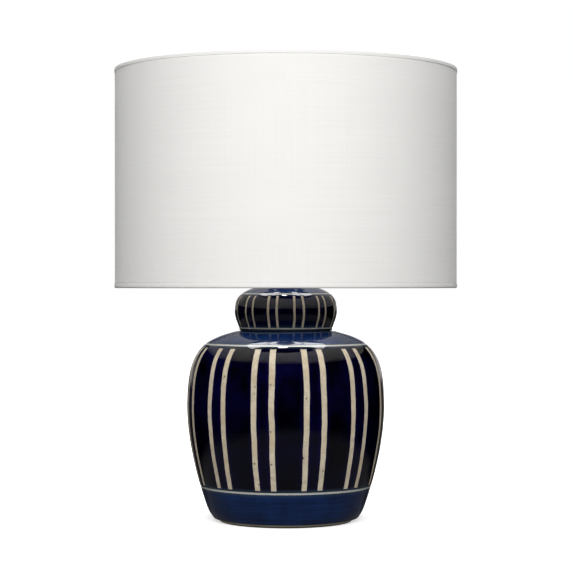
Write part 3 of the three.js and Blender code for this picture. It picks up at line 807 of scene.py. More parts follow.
class Pot:
    """The outside wall of a striped pot: its rows, and where its rings and stripes lie on them."""

    def __init__(self, outside, rings, stripes, tones, width, turn, seed, footed):
        self.footed = footed
        self.curve = catmull_rom(outside, 700)
        self.lengths = [0.0]
        for one, other in zip(self.curve, self.curve[1:]):
            self.lengths.append(self.lengths[-1] + (other - one).length)
        self.width, self.turn, self.seed = width, turn, seed
        self.rings = [(self.along(height), wide / 2) for height, wide in rings]
        self.stripes = [self.along(stripes[0]), self.along(stripes[1])] if stripes else None
        self.tones = [(self.along(height), tone) for height, tone in tones]

    def along(self, height):
        """Distance along the wall at which it reaches this height."""
        nearest = min(range(len(self.curve)), key=lambda i: abs(self.curve[i].y - height))
        return self.lengths[nearest]

    def at(self, length):
        """The point on the wall at this distance along it, and the way the wall faces there."""
        i = max(1, next((i for i, s in enumerate(self.lengths) if s >= length), len(self.lengths) - 1))
        start, end = self.curve[i - 1], self.curve[i]
        share = (length - self.lengths[i - 1]) / max(self.lengths[i] - self.lengths[i - 1], 1e-9)
        run = (end - start).normalized()
        return start.lerp(end, min(max(share, 0), 1)), Vector((run.y, -run.x))

    def rows(self):
        """Distances along the wall, with rows at each ring's and each stripe's edges."""
        whole = self.lengths[-1]
        edges = [0.0, whole]
        for middle, half in self.rings:
            edges += [middle - half - LIP, middle - half, middle + half, middle + half + LIP]
        if self.stripes:
            edges += [self.stripes[0] - LIP, self.stripes[0], self.stripes[1], self.stripes[1] + LIP]
        edges = sorted(e for e in edges if 0 <= e <= whole)
        made = []
        for start, end in zip(edges, edges[1:]):
            count = max(1, math.ceil((end - start) / ROW))
            made += [start + (end - start) * k / count for k in range(count)]
        return made + [whole]

    def in_ring(self, length):
        return any(abs(length - middle) <= half + 1e-9 for middle, half in self.rings)

    def in_stripes(self, length):
        return bool(self.stripes) and self.stripes[0] - 1e-9 <= length <= self.stripes[1] + 1e-9

    def tone(self, length):
        """How thin the glaze lies: the value of the band that this row is in."""
        return next((tone for top, tone in self.tones if length <= top), self.tones[-1][1])

    def washed(self, length):
        """The pale wash over the rings, which bleeds a little way into the glaze beside them."""
        nearest = min(abs(length - middle) - half for middle, half in self.rings)
        return min(max(1 - nearest / BLEED, 0), 1)

    def wander(self, length, which, side=0.0):
        """A hand-painted edge's small wander, in metres."""
        where = Vector((length * 26, which * 3.71 + self.seed, side))
        fine = Vector((length * 95, which * 5.13, side + self.seed))
        return noise.noise(where) * 0.75 * MM + noise.noise(fine) * 0.25 * MM

    def edges(self, sector, length, radius, settings):
        """Angles, from the middle of the pair, of the ten edges that PAIR_COLUMNS names."""
        half_sector = math.pi / settings.pairs
        made = [-half_sector]
        for side in (-1, 1):
            which = sector * 2 + (side + 1) // 2
            lean = noise.noise(Vector((which * 1.9, self.seed, 4.2))) * 0.02 * (length - self.lengths[-1] / 2)
            middle = side * settings.half_gap + (self.wander(length, which) * 1.2 + lean) / radius
            half = self.width * (0.44 + 0.12 * length / self.lengths[-1]) / radius
            left = middle - half - self.wander(length, which, 7.7) * 0.35 / radius
            right = middle + half + self.wander(length, which, 3.3) * 0.35 / radius
            made += [left - LIP / radius, left, right, right + LIP / radius]
        return made + [half_sector]

    def build(self, inside, settings):
        """The whole pot as a bmesh, with its "clay", "thin", "tone" and "wash" on each point."""
        lengths = self.rows()
        spots = [self.at(length) for length in lengths]
        bm = bmesh.new()
        row_of = bm.verts.layers.int.new("row")
        outline = []
        for i, (point, _) in enumerate(spots):
            outline.append(bm.verts.new((0, -point.x, point.y)))
            outline[-1][row_of] = i + 1
        outline += [bm.verts.new((0, -r, z)) for r, z in inside]
        loop = [bm.edges.new(pair) for pair in zip(outline, outline[1:] + outline[:1])]
        per_pair = len(PAIR_COLUMNS)
        columns = per_pair * settings.pairs
        bmesh.ops.spin(
            bm, geom=outline + loop, cent=(0, 0, 0), axis=(0, 0, 1), angle=math.tau, steps=columns,
            use_merge=True,
        )
        bmesh.ops.remove_doubles(bm, verts=bm.verts, dist=1e-7)
        clay, thin, tone, wash = (bm.verts.layers.float.new(name) for name in ("clay", "thin", "tone", "wash"))
        sector_angle = math.tau / settings.pairs
        for vert in bm.verts:
            if not vert[row_of]:
                start = spots[0][0].y
                under_rim = start - RIM_DROP < vert.co.z < start and vert.co.xy.length > RIM_INSIDE
                glazed = under_rim and not self.footed
                vert[clay] = 0.0 if glazed else 1.0
                vert[wash] = 0.5 if glazed else 0.0
                continue
            length = lengths[vert[row_of] - 1]
            point, facing = spots[vert[row_of] - 1]
            column = round(math.atan2(vert.co.x, -vert.co.y) / math.tau * columns) % columns
            sector, place = divmod(column, per_pair)
            start, end, share = PAIR_COLUMNS[place]
            edges = self.edges(sector, length, point.x, settings)
            angle = self.turn + (sector + 0.5) * sector_angle + edges[start] + (edges[end] - edges[start]) * share
            bare = self.in_ring(length) or (place in BARE_COLUMNS and self.in_stripes(length))
            vert[clay] = 1.0 if bare else 0.0
            vert[tone] = self.tone(length)
            vert[wash] = self.washed(length)
            if self.in_stripes(length):
                vert[thin] = THIN_COLUMNS.get(place, 0.0)
            spot = Vector((point.x * math.sin(angle), -point.x * math.cos(angle), point.y))
            sway = noise.noise(spot * 22 + Vector((self.seed, 0, 0))) + 0.3 * noise.noise(spot * 75)
            out = settings.waviness * sway - (settings.glaze_depth if bare else 0)
            radius = point.x + facing.x * out
            vert.co = (radius * math.sin(angle), -radius * math.cos(angle), point.y + facing.y * out)
        bmesh.ops.recalc_face_normals(bm, faces=bm.faces)
        return bm


class LAMP_OT_jar(bpy.types.Operator):
    """Throw the striped jar and its lid, with their bare rings and stripes"""

    bl_idname = "lamp.make_jar"
    bl_label = "Jar and lid"

    def execute(self, context):
        sizes = context.scene.lamp_jar
        glaze = glaze_over_clay(sizes.glaze, sizes.thin_glaze, sizes.clay, sizes.wash)
        foot_ring, shoulder_ring = (44.6 * MM, 2.1 * MM), (223.5 * MM, 2.6 * MM)
        jar = Pot(
            JAR_OUTSIDE,
            rings=(foot_ring, shoulder_ring),
            stripes=(foot_ring[0] + 3.6 * MM, shoulder_ring[0] - 4.0 * MM),
            tones=((foot_ring[0], 0.55), (shoulder_ring[0], 0.0), (1.0, 0.62)),
            width=sizes.body_stripe,
            turn=sizes.body_turn,
            seed=2.0,
            footed=True,
        )
        inner = [p for p in offset(catmull_rom(JAR_OUTSIDE, 22), WALL) if p.y > 40 * MM and p.x > 52 * MM]
        inside = [*JAR_MOUTH, *((p.x, p.y) for p in reversed(inner)), *JAR_FOOT]
        bored_jar = self.with_cord_hole(jar.build(inside, sizes))
        piece("striped_jar", bored_jar, glaze, "base", ["jar_body"])

        top_ring = (286.5 * MM, 1.6 * MM)
        lid = Pot(
            LID_OUTSIDE,
            rings=(top_ring, (243.4 * MM, 1.2 * MM)),
            stripes=(244.6 * MM, top_ring[0] - 2.6 * MM),
            tones=((top_ring[0], 0.04), (1.0, 0.9)),
            width=sizes.lid_stripe,
            turn=0.0,
            seed=9.0,
            footed=False,
        )
        inner = [p for p in offset(catmull_rom(LID_OUTSIDE, 16), LID_WALL) if p.x > 20 * MM and p.y > 248 * MM]
        inside = [*LID_TOP, *((p.x, p.y) for p in reversed(inner)), *LID_SEAT]
        piece("striped_lid", lid.build(inside, sizes), glaze, "base", ["jar_lid"])
        return {"FINISHED"}

    def with_cord_hole(self, bm):
        """The jar with the round hole for the cord through the back of its foot."""
        middle = level("cord_bushing")
        return bored(bm, CORD_HOLE, (0, 0.07, middle), (0, 0.12, middle))


# ---------------------------------------------------------------------------
# What clamps the jar together
# ---------------------------------------------------------------------------

PIPE_HOLE = 5.4 * MM

class LAMP_OT_base(bpy.types.Operator):
    """Make the felt, the base plate, its washer and nut, the pipe and the cord's bushing"""

    bl_idname = "lamp.make_base"
    bl_label = "Base fittings"

    def execute(self, context):
        sizes = context.scene.lamp_fittings
        felt_top = high("foot_felt").z
        turned(
            "felt_ring", [(0.0731, 0), (0.0834, 0), (0.0834, felt_top), (0.0731, felt_top)], felt(), "base",
            ["foot_felt"], 0.4 * MM, 160,
        )
        bottom, top = span("base_plate")
        dish = top - 0.5 * MM
        turned(
            "base_disc",
            [(PIPE_HOLE, bottom), (0.0240, bottom), (0.0252, bottom + 0.3 * MM), (0.0280, bottom + 0.3 * MM),
             (0.0280, top), (0.0250, top), (0.0240, dish), (PIPE_HOLE, dish)],
            zinc_steel(), "base", ["base_plate"], 0.2 * MM,
        )
        self.make_lock_washer()
        self.make_nut()
        self.make_pipe(sizes.fine_pitch)
        self.make_bushing()
        return {"FINISHED"}

    def make_lock_washer(self):
        """A split spring washer: one turn that climbs a little, with a gap."""
        bottom, top = span("base_lock_washer")
        thick = (top - bottom) * 0.75
        section = [(0.0055, bottom), (0.0089, bottom), (0.0089, bottom + thick), (0.0055, bottom + thick)]
        ring = spun(eased(section, 0.15 * MM), 60, turns=0.97, rise=(top - bottom) * 0.24)
        piece("split_washer", ring, zinc_steel(), "base", ["base_lock_washer"])

    def make_nut(self):
        bottom, top = span("base_nut")
        across = (high("base_nut").x - low("base_nut").x) / 2
        bm = bmesh.new()
        corner = across / math.cos(math.pi / 6)
        bmesh.ops.create_cone(
            bm, cap_ends=True, segments=6, radius1=corner, radius2=corner, depth=top - bottom,
            matrix=Matrix.Translation((0, 0, (top + bottom) / 2)) @ Matrix.Rotation(math.pi / 6, 4, "Z"),
        )
        bmesh.ops.bevel(
            bm, geom=bm.edges[:], offset=0.5 * MM, affect="EDGES", segments=3, profile=0.5, material=-1,
        )
        nut = bored(bm, PIPE_HOLE, (0, 0, bottom - MM), (0, 0, top + MM))
        piece("hex_nut", nut, zinc_steel(), "base", ["base_nut"])

    def make_pipe(self, pitch):
        bottom, top = span("lamp_pipe")
        outer, bore = high("lamp_pipe").x, 3.4 * MM
        root = outer - 0.35 * MM
        bm = joined(
            lathe([(bore, bottom), (root, bottom), (root, top), (bore, top)], 0.4 * MM, 64),
            thread(outer, pitch, bottom + 0.6 * MM, bottom + 26 * MM, 0.5 * MM),
            thread(outer, pitch, top - 30 * MM, top - 0.6 * MM, 0.5 * MM),
        )
        piece("threaded_pipe", bm, zinc_steel(), "base", ["lamp_pipe"])

    def make_bushing(self):
        bm = softened_copy("cord_bushing", 0.35 * MM, math.radians(35))
        piece("cord_grommet", bm, rubber(), "base", ["cord_bushing"], math.radians(50))


class LAMP_OT_neck(bpy.types.Operator):
    """Turn the vase cap and the spacer between it and the harp's saddle"""

    bl_idname = "lamp.make_neck"
    bl_label = "Neck"

    def execute(self, context):
        bottom, top = span("vase_cap")
        turned(
            "brass_vase_cap",
            [(PIPE_HOLE, top - 1.6 * MM), (0.018, bottom + 2.2 * MM), (0.020, bottom), (0.022, bottom),
             (0.022, bottom + 1.2 * MM), (0.0205, bottom + 2.2 * MM), (0.0196, bottom + 3.0 * MM),
             (0.0188, bottom + 4.4 * MM), (0.013, top - MM), (0.009, top), (PIPE_HOLE, top)],
            antique_brass(), "base", ["vase_cap"], 0.45 * MM, 128,
        )
        bottom, top = span("neck_spacer")
        turned(
            "brass_spacer",
            [(PIPE_HOLE, bottom), (0.0085, bottom), (0.0085, bottom + 1.5 * MM), (0.0075, bottom + 2.2 * MM),
             (0.0069, bottom + 3.2 * MM), (0.0066, (bottom + top) / 2), (0.0069, top - 3.2 * MM),
             (0.0075, top - 2.2 * MM), (0.0085, top - 1.5 * MM), (0.0085, top), (PIPE_HOLE, top)],
            antique_brass(), "base", ["neck_spacer"], 0.35 * MM, 96,
        )
        return {"FINISHED"}


# ---------------------------------------------------------------------------
# The harp
# ---------------------------------------------------------------------------

# One side of the harp's loop, from the leg's end to near the top, as (x, z).
HARP_SIDE = mm(
    (27.1, 327), (27.1, 342), (27.1, 358), (34, 379), (46, 405), (54.5, 438), (56, 472), (49, 506), (33, 532),
    (14, 546),
)
HARP_CROWN = 0.549


class LAMP_OT_harp(bpy.types.Operator):
    """Bend the harp and make its saddle, its stud and the two sleeves that lock it"""

    bl_idname = "lamp.make_harp"
    bl_label = "Harp"

    def execute(self, context):
        sizes = context.scene.lamp_fittings
        brass = antique_brass()
        wire = wire_mesh(catmull_rom(both_sides(HARP_SIDE, HARP_CROWN), 220), sizes.harp_wire)
        piece("bent_harp", wire, brass, "base", ["harp_wire"])
        piece("bent_saddle", softened_copy("harp_saddle", 0.3 * MM), brass, "base", ["harp_saddle"])
        self.make_stud(sizes, brass)
        for name in ("left", "right"):
            self.make_sleeve(name, brass)
        return {"FINISHED"}

    def make_stud(self, sizes, brass):
        """The block that the loop passes through, with the shade's seat and the finial's thread on top."""
        bottom, top = span("harp_stud")
        seat = low("spider_washer").z - 0.3 * MM
        core = 2.75 * MM
        outline = [
            (0, bottom), (0.0058, bottom), (0.0060, bottom + 0.6 * MM), (0.0060, 0.5516), (0.0085, 0.5530),
            (0.0085, seat), (core, seat), (core, top - 0.6 * MM), (core - 0.6 * MM, top), (0, top),
        ]
        body = lathe(outline, 0.3 * MM, 72, closed=False)
        ridge = thread(3.1 * MM, sizes.fine_pitch, seat + 0.2 * MM, top - 0.7 * MM, 0.5 * MM)
        piece("harp_top", joined(body, ridge), brass, "base", ["harp_stud"])

    def make_sleeve(self, name, brass):
        node = f"harp_sleeve_{name}"
        bottom, top = span(node)
        middle = (low(node).x + high(node).x) / 2
        outline = [
            (0.0046, bottom), (0.0056, bottom), (0.0056, bottom + MM), (0.0052, bottom + 1.6 * MM),
            (0.0052, top - 1.6 * MM), (0.0056, top - MM), (0.0056, top), (0.0046, top),
        ]
        turned(
            f"harp_ferrule_{name}", outline, brass, f"sleeve_{name}", [node], 0.3 * MM, 64,
            Matrix.Translation((middle, 0, 0)),
        )


# ---------------------------------------------------------------------------
# The socket and its switch
# ---------------------------------------------------------------------------

SWITCH_HOLE = 4 * MM


class LAMP_OT_socket(bpy.types.Operator):
    """Make the socket's cap, shell, liner, core, contacts and screws"""

    bl_idname = "lamp.make_socket"
    bl_label = "Socket"

    def execute(self, context):
        sizes = context.scene.lamp_fittings
        brass = antique_brass()
        self.make_cap(brass)
        self.make_shell(brass)
        screw = softened_copy("socket_set_screw", 0.25 * MM)
        piece("cap_screw", screw, zinc_steel(), "base", ["socket_set_screw"])
        bottom, top = span("socket_liner")
        liner = lathe([(0.0149, bottom), (0.0154, bottom), (0.0154, top), (0.0149, top)], 0.1 * MM, 72)
        liner = self.with_switch_hole(liner, SWITCH_HOLE + 0.4 * MM)
        piece("paper_liner", liner, fibre_paper(), "base", ["socket_liner"])
        piece("moulded_core", softened_copy("socket_core", 0.3 * MM), phenolic(), "base", ["socket_core"])
        self.make_terminal(1, "live", bright_brass(), "brass_bright")
        self.make_terminal(-1, "neutral", zinc_steel(), "steel")
        self.make_screw_shell(sizes.bulb_pitch)
        tongue = softened_copy("centre_contact", 0.1 * MM)
        piece("contact_tongue", tongue, bright_brass(), "base", ["centre_contact"])
        return {"FINISHED"}

    def make_cap(self, brass):
        bottom, top = span("socket_cap")
        outline = [
            (PIPE_HOLE, bottom), (0.009, bottom), (0.009, bottom + 4.4 * MM), (0.0098, bottom + 5.8 * MM),
            (0.0130, bottom + 8.4 * MM), (0.0155, bottom + 10.4 * MM), (0.0170, bottom + 12.6 * MM),
            (0.0174, bottom + 15 * MM), (0.0174, top), (0.0167, top), (0.0165, bottom + 13 * MM),
            (0.0124, bottom + 9.7 * MM), (0.0084, bottom + 7 * MM), (PIPE_HOLE, bottom + 7 * MM),
        ]
        turned("socket_cup", outline, brass, "base", ["socket_cap"], 0.5 * MM, 96)

    def with_switch_hole(self, bm, radius):
        """The bmesh with a round hole through its front, level with the switch's shaft."""
        height = level("switch_shaft")
        return bored(bm, radius, (0, -0.04, height), (0, -0.008, height))

    def make_shell(self, brass):
        """The shell has a rolled bead round its waist, a flared lip and the switch's hole."""
        bottom, top = span("socket_shell")
        wall, bead = 0.0163, 0.0170
        outline = [
            (0.0157, bottom), (wall, bottom), (wall, 0.3506), (bead, 0.3516), (bead, 0.3532), (wall, 0.3542),
            (wall, 0.3625), (wall + 0.3 * MM, 0.3632), (wall, 0.3639), (wall, top - 2 * MM), (bead, top),
            (bead - 0.6 * MM, top), (0.0157, top - 1.8 * MM),
        ]
        shell = self.with_switch_hole(lathe(outline, 0.35 * MM, 96), SWITCH_HOLE)
        piece("socket_body", shell, brass, "base", ["socket_shell"])

    def make_terminal(self, side, name, metal, slot):
        """A cheese-headed screw with its slot, lying along X."""
        node = f"terminal_screw_{name}"
        inner, outer = sorted((abs(low(node).x), abs(high(node).x)))
        middle = level(node)
        lie = Matrix.Translation((0, 0, middle)) @ Matrix.Rotation(side * math.pi / 2, 4, "Y")
        head = lathe([(0, inner), (0.003, inner), (0.003, outer), (0, outer)], 0.3 * MM, 40, closed=False)
        bmesh.ops.transform(head, matrix=lie, verts=head.verts)
        blade = bmesh.new()
        slot_cut = Matrix.Translation((side * outer, 0, middle)) @ Matrix.Diagonal((1.4 * MM, 8 * MM, 0.8 * MM, 1))
        bmesh.ops.create_cube(blade, size=1, matrix=slot_cut)
        piece(f"slotted_screw_{name}", without(head, blade), metal, "base", [node])

    def make_screw_shell(self, pitch):
        bottom, top = span("screw_shell")
        skin = screw_skin(13.75 * MM, 0.22 * MM, pitch, bottom + 2 * MM, top - 1.4 * MM, 0.5 * MM)
        floor = [
            (0.006, bottom), (0.0140, bottom), (0.0140, bottom + 2.6 * MM), (0.0135, bottom + 2.6 * MM),
            (0.0135, bottom + 0.6 * MM), (0.006, bottom + 0.6 * MM),
        ]
        lip = [(0.0135, top - 2 * MM), (0.0141, top - 2 * MM), (0.0141, top), (0.0135, top)]
        bm = joined(lathe(floor, 0.2 * MM, 72), skin, lathe(lip, 0.2 * MM, 72))
        piece("threaded_shell", bm, bright_brass(), "base", ["screw_shell"])


class LAMP_OT_switch(bpy.types.Operator):
    """Make the switch's shaft and its fluted knob"""

    bl_idname = "lamp.make_switch"
    bl_label = "Switch"

    def execute(self, context):
        sizes = context.scene.lamp_fittings
        front, back = low("switch_knob").y, high("switch_knob").y
        shaft_front, shaft_back = low("switch_shaft").y, high("switch_shaft").y
        middle = level("switch_shaft")
        lie = Matrix.Translation((0, 0, middle)) @ Matrix.Rotation(math.pi / 2, 4, "X")
        shaft = [(0, -shaft_back), (0.0019, -shaft_back), (0.0019, -shaft_front), (0, -shaft_front)]
        bm = lathe(shaft, 0.3 * MM, 40, closed=False)
        bmesh.ops.transform(bm, matrix=lie, verts=bm.verts)
        piece("turned_shaft", bm, antique_brass(), "switch", ["switch_shaft"])

        outside = 5.8 * MM
        outline = [
            (0.0022, -back), (0.0042, -back), (outside - 0.6 * MM, -back), (outside, -back + 0.8 * MM),
            (outside, -front - 2.2 * MM), (outside - 0.5 * MM, -front - 0.9 * MM), (outside - 1.8 * MM, -front),
            (0.0016, -front), (0, -front - 0.3 * MM), (0, -shaft_front + 0.4 * MM), (0.0022, -shaft_front + 0.4 * MM),
        ]
        knob = lathe(outline, 0.35 * MM, sizes.knob_flutes * 16)
        for vert in knob.verts:
            radius = math.hypot(vert.co.x, vert.co.y)
            if radius > outside - 1.2 * MM:
                turn = math.atan2(vert.co.y, vert.co.x) * sizes.knob_flutes
                shrink = 1 - 0.11 * max(0.0, math.cos(turn)) ** 2
                vert.co.x *= shrink
                vert.co.y *= shrink
        bmesh.ops.transform(knob, matrix=lie, verts=knob.verts)
        piece("fluted_knob", knob, phenolic(), "switch", ["switch_knob"])
        return {"FINISHED"}


# ---------------------------------------------------------------------------
# The bulb
# ---------------------------------------------------------------------------

BULB_OUTSIDE = mm(
    (12.2, 377), (12.2, 386), (14.6, 395), (21, 408), (27.6, 422), (30, 437), (26, 452.5), (14, 463.2), (0, 466),
)
FILAMENT_SIDE = mm((5.4, 406), (8.4, 419), (12.6, 430.5), (6.5, 432.5))
FILAMENT_CROWN = 0.4295
GLASS_WALL = 0.9 * MM


class LAMP_OT_bulb(bpy.types.Operator):
    """Make the bulb: its contact, cap, glass, stem and filament"""

    bl_idname = "lamp.make_bulb"
    bl_label = "Bulb"

    def execute(self, context):
        sizes = context.scene.lamp_fittings
        tip, tip_top = span("bulb_tip")
        outline = [
            (0, tip), (0.0024, tip), (0.0041, tip + 0.6 * MM), (0.0046, tip + 1.3 * MM), (0.0046, tip_top),
            (0, tip_top),
        ]
        contact = lathe(outline, 0.3 * MM, 40, closed=False)
        piece("contact_tip", contact, lamp_metal(), "bulb_contact", ["bulb_tip"])
        bottom, top = span("bulb_insulator")
        collar = lathe([(0, bottom), (0.0052, bottom), (0.0102, top), (0, top)], 0.3 * MM, 48, closed=False)
        piece("glass_collar", collar, phenolic(), "bulb_contact", ["bulb_insulator"])
        self.make_cap(sizes.bulb_pitch)
        self.make_glass()
        return {"FINISHED"}

    def make_cap(self, pitch):
        bottom, top = span("bulb_cap")
        skin = screw_skin(12.75 * MM, 0.3 * MM, pitch, bottom + 2.2 * MM, top - 2.6 * MM, 0.3 * MM)
        cone = [
            (0.005, bottom), (0.0106, bottom), (0.0126, bottom + 2.0 * MM), (0.0126, bottom + 3.4 * MM),
            (0.0122, bottom + 3.4 * MM), (0.0122, bottom + 2.3 * MM), (0.0104, bottom + 0.5 * MM),
            (0.005, bottom + 0.5 * MM),
        ]
        rim = [(0.0122, top - 4.4 * MM), (0.0129, top - 4.4 * MM), (0.0129, top), (0.0124, top)]
        bm = joined(lathe(cone, 0.2 * MM, 64), skin, lathe(rim, 0.2 * MM, 64))
        piece("screw_cap", bm, lamp_metal(), "bulb", ["bulb_cap"])

    def make_glass(self):
        outside = catmull_rom(BULB_OUTSIDE, 56)
        inner = offset(outside, GLASS_WALL)[:-1] + [Vector((0, outside[-1].y - GLASS_WALL))]
        glass = spun([*outside, *reversed(inner)], 96)
        piece("bulb_envelope", glass, opal_glass(), "bulb", ["bulb_glass"])
        bottom, top = span("bulb_stem")
        stem = [
            (0, bottom), (0.009, bottom), (0.009, bottom + 2 * MM), (0.0062, bottom + 8 * MM),
            (0.0042, bottom + 13 * MM), (0.0038, top - 6 * MM), (0.0026, top - 1.4 * MM), (0, top),
        ]
        stem = lathe(stem, 2 * MM, 48, closed=False)
        piece("glass_stem", stem, clear_glass(), "bulb", ["bulb_stem"])
        filament = wire_mesh(catmull_rom(both_sides(FILAMENT_SIDE, FILAMENT_CROWN), 60), 0.4 * MM, 8)
        piece("filament", filament, lamp_metal(), "bulb", ["bulb_filament"])


# ---------------------------------------------------------------------------
# The shade
# ---------------------------------------------------------------------------


CLOTH_THICK = 0.35 * MM
LINER_THICK = 0.6 * MM
RING_REACH = 2 * MM  # from the middle of a ring's wire to its outside
LINER_LAP = 8 * MM  # half the width of the lap at the back of the liner


def cloth_map(bm, around):
    """Gives cloth its own map in metres: u round the shade, from the back seam, and v up it."""
    layer = bm.loops.layers.uv.new("cloth")
    for face in bm.faces:
        middle = face.calc_center_median()
        heading = math.atan2(-middle.x, middle.y)
        for loop in face.loops:
            turn = math.atan2(-loop.vert.co.x, loop.vert.co.y)
            turn += math.tau * round((heading - turn) / math.tau)
            radius = math.hypot(loop.vert.co.x, loop.vert.co.y)
            loop[layer].uv = (turn * around, loop.vert.co.z + (around - radius))


class LAMP_OT_shade(bpy.types.Operator):
    """Stretch the linen over its liner, and make the rings and the rolled hems"""

    bl_idname = "lamp.make_shade"
    bl_label = "Shade"

    def execute(self, context):
        sizes = context.scene.lamp_shade
        linen = woven_linen(sizes.linen, sizes.thread_pitch)
        hems = [self.make_hem(name, linen) for name in ("bottom", "top")]
        self.make_linen(linen, sizes, hems)
        self.make_liner()
        for name in ("bottom", "top"):
            self.make_ring(name)
        return {"FINISHED"}

    def sway(self, spot, sizes):
        """How far the stretched cloth stands off a true cylinder at this place."""
        return sizes.slack * noise.noise(Vector((spot.x * 9, spot.y * 9, spot.z * 5)))

    def make_linen(self, linen, sizes, hems):
        """One length of linen round the drum, lapped at the back."""
        corner, top = low("shade_linen"), high("shade_linen").z
        outer = high("shade_linen").x
        rows = 40
        outline = [(outer, corner.z + (top - corner.z) * k / rows) for k in range(rows + 1)]
        bm = spun(outline, 360, closed=False)
        half_seam = sizes.seam_width / 2 / outer
        for vert in bm.verts:
            turn = abs(math.atan2(vert.co.x, vert.co.y))
            lap = CLOTH_THICK if turn < half_seam else 0.0
            radius = outer - CLOTH_THICK + lap + self.sway(vert.co, sizes)
            flat = Vector((vert.co.x, vert.co.y, 0)).normalized() * radius
            vert.co.x, vert.co.y = flat.x, flat.y
        cloth_map(bm, outer)
        sheet = piece("linen", bm, linen, "shade", ["shade_linen"])
        wall = sheet.modifiers.new("cloth thickness", "SOLIDIFY")
        wall.thickness, wall.offset = CLOTH_THICK, -1

    def make_liner(self):
        bottom, top = span("shade_liner")
        outer = high("shade_liner").x
        rows = 12
        bm = spun([(outer, bottom + (top - bottom) * k / rows) for k in range(rows + 1)], 240, closed=False)
        for vert in bm.verts:
            if abs(math.atan2(vert.co.x, vert.co.y)) < LINER_LAP / outer:
                vert.co.x *= 1 - 0.3 * MM / outer
                vert.co.y *= 1 - 0.3 * MM / outer
        drum = piece("styrene_drum", bm, styrene(), "shade", ["shade_liner"])
        wall = drum.modifiers.new("sheet thickness", "SOLIDIFY")
        wall.thickness, wall.offset = LINER_THICK, -1

    def make_hem(self, name, linen):
        """A strip of linen rolled over a rim: its outside stands proud, and it turns in under the ring."""
        node = f"shade_hem_{name}"
        up = 1 if name == "top" else -1
        edge = high(node).z if up > 0 else low(node).z
        outer = high("shade_linen").x + 0.3 * MM
        inner = high(f"shade_ring_{name}").x - 2 * RING_REACH - 1.1 * MM
        thick, tall, turn_in = 0.45 * MM, 5.6 * MM, 3.6 * MM
        outline = [
            (outer - thick, edge - up * tall), (outer - 0.1 * MM, edge - up * tall),
            (outer, edge - up * (tall - 0.8 * MM)), (outer, edge - up * 1.4 * MM), (outer - 1.3 * MM, edge),
            (inner + 1.3 * MM, edge), (inner, edge - up * 1.4 * MM), (inner, edge - up * turn_in),
            (inner + thick, edge - up * turn_in), (inner + thick, edge - up * thick * 1.6),
            (inner + 1.9 * MM, edge - up * thick), (outer - 1.9 * MM, edge - up * thick),
            (outer - thick, edge - up * thick * 1.6),
        ]
        bm = lathe(outline, 0.7 * MM, 240)
        for vert in bm.verts:
            spot = Vector((vert.co.x, vert.co.y, 0))
            sway = noise.noise(spot * 30 + Vector((0, 0, edge * 40))) * 0.16 * MM
            vert.co.z += sway * (1 if abs(vert.co.z - edge) > 2 * MM else 0.25)
            reach = 1 + noise.noise(spot * 55) * 0.05 * MM / outer
            vert.co.x *= reach
            vert.co.y *= reach
        cloth_map(bm, outer)
        return piece(f"rolled_hem_{name}", bm, linen, "shade", [node], math.radians(60))

    def make_ring(self, name):
        node = f"shade_ring_{name}"
        middle = level(node)
        radius, wire = high(node).x - RING_REACH, 1.9 * MM
        turns = [k * math.tau / 16 for k in range(16)]
        section = [(radius + wire * math.cos(turn), middle + wire * math.sin(turn)) for turn in turns]
        piece(f"wire_ring_{name}", spun(section, 180), white_enamel(), "shade", [node])


class LAMP_OT_spider(bpy.types.Operator):
    """Make the washer that the shade hangs by and its three arms"""

    bl_idname = "lamp.make_spider"
    bl_label = "Spider"

    def execute(self, context):
        sizes = context.scene.lamp_fittings
        enamel = white_enamel()
        bottom, top = span("spider_washer")
        rim = high("spider_washer").x
        turned(
            "shade_washer",
            [(0.0037, bottom), (rim, bottom), (rim, top), (rim - 2.2 * MM, top), (rim - 3.2 * MM, top - 0.3 * MM),
             (0.0037, top - 0.3 * MM)],
            enamel, "shade", ["spider_washer"], 0.3 * MM, 96,
        )
        self.make_arms(sizes, enamel, (bottom + top) / 2, rim)
        return {"FINISHED"}

    def make_arms(self, sizes, enamel, middle, rim):
        """Each arm runs out level, steps up by the shade's wall, and is welded at both ends."""
        ring = high("shade_ring_top").x - RING_REACH
        end = low("shade_ring_top").z - 0.3 * MM - sizes.spider_wire + 0.4 * MM
        path = [
            (rim - 3 * MM, 0, middle), (0.040, 0, middle), (0.070, 0, middle), (0.150, 0, middle),
            (0.190, 0, middle + 0.6 * MM), (0.203, 0, end - 2.6 * MM), (ring, 0, end),
        ]
        arms = sorted(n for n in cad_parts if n.startswith("spider_arm_"))
        for i, node in enumerate(arms):
            bm = wire_mesh(catmull_rom(path, 70), sizes.spider_wire, 12)
            for x, z, long in ((rim - MM, middle, 3.4), (ring - 0.3 * MM, end + 0.7 * MM, 2.6)):
                weld = bmesh.new()
                bmesh.ops.create_icosphere(
                    weld, subdivisions=3, radius=1,
                    matrix=Matrix.Translation((x, 0, z)) @ Matrix.Diagonal((long * MM, 2.2 * MM, 1.7 * MM, 1)),
                )
                bm = joined(bm, weld)
            turn = Matrix.Rotation(math.pi / 2 + i * math.tau / len(arms), 4, "Z")
            bmesh.ops.transform(bm, matrix=turn, verts=bm.verts)
            piece(f"welded_arm_{i + 1}", bm, enamel, "shade", [node])


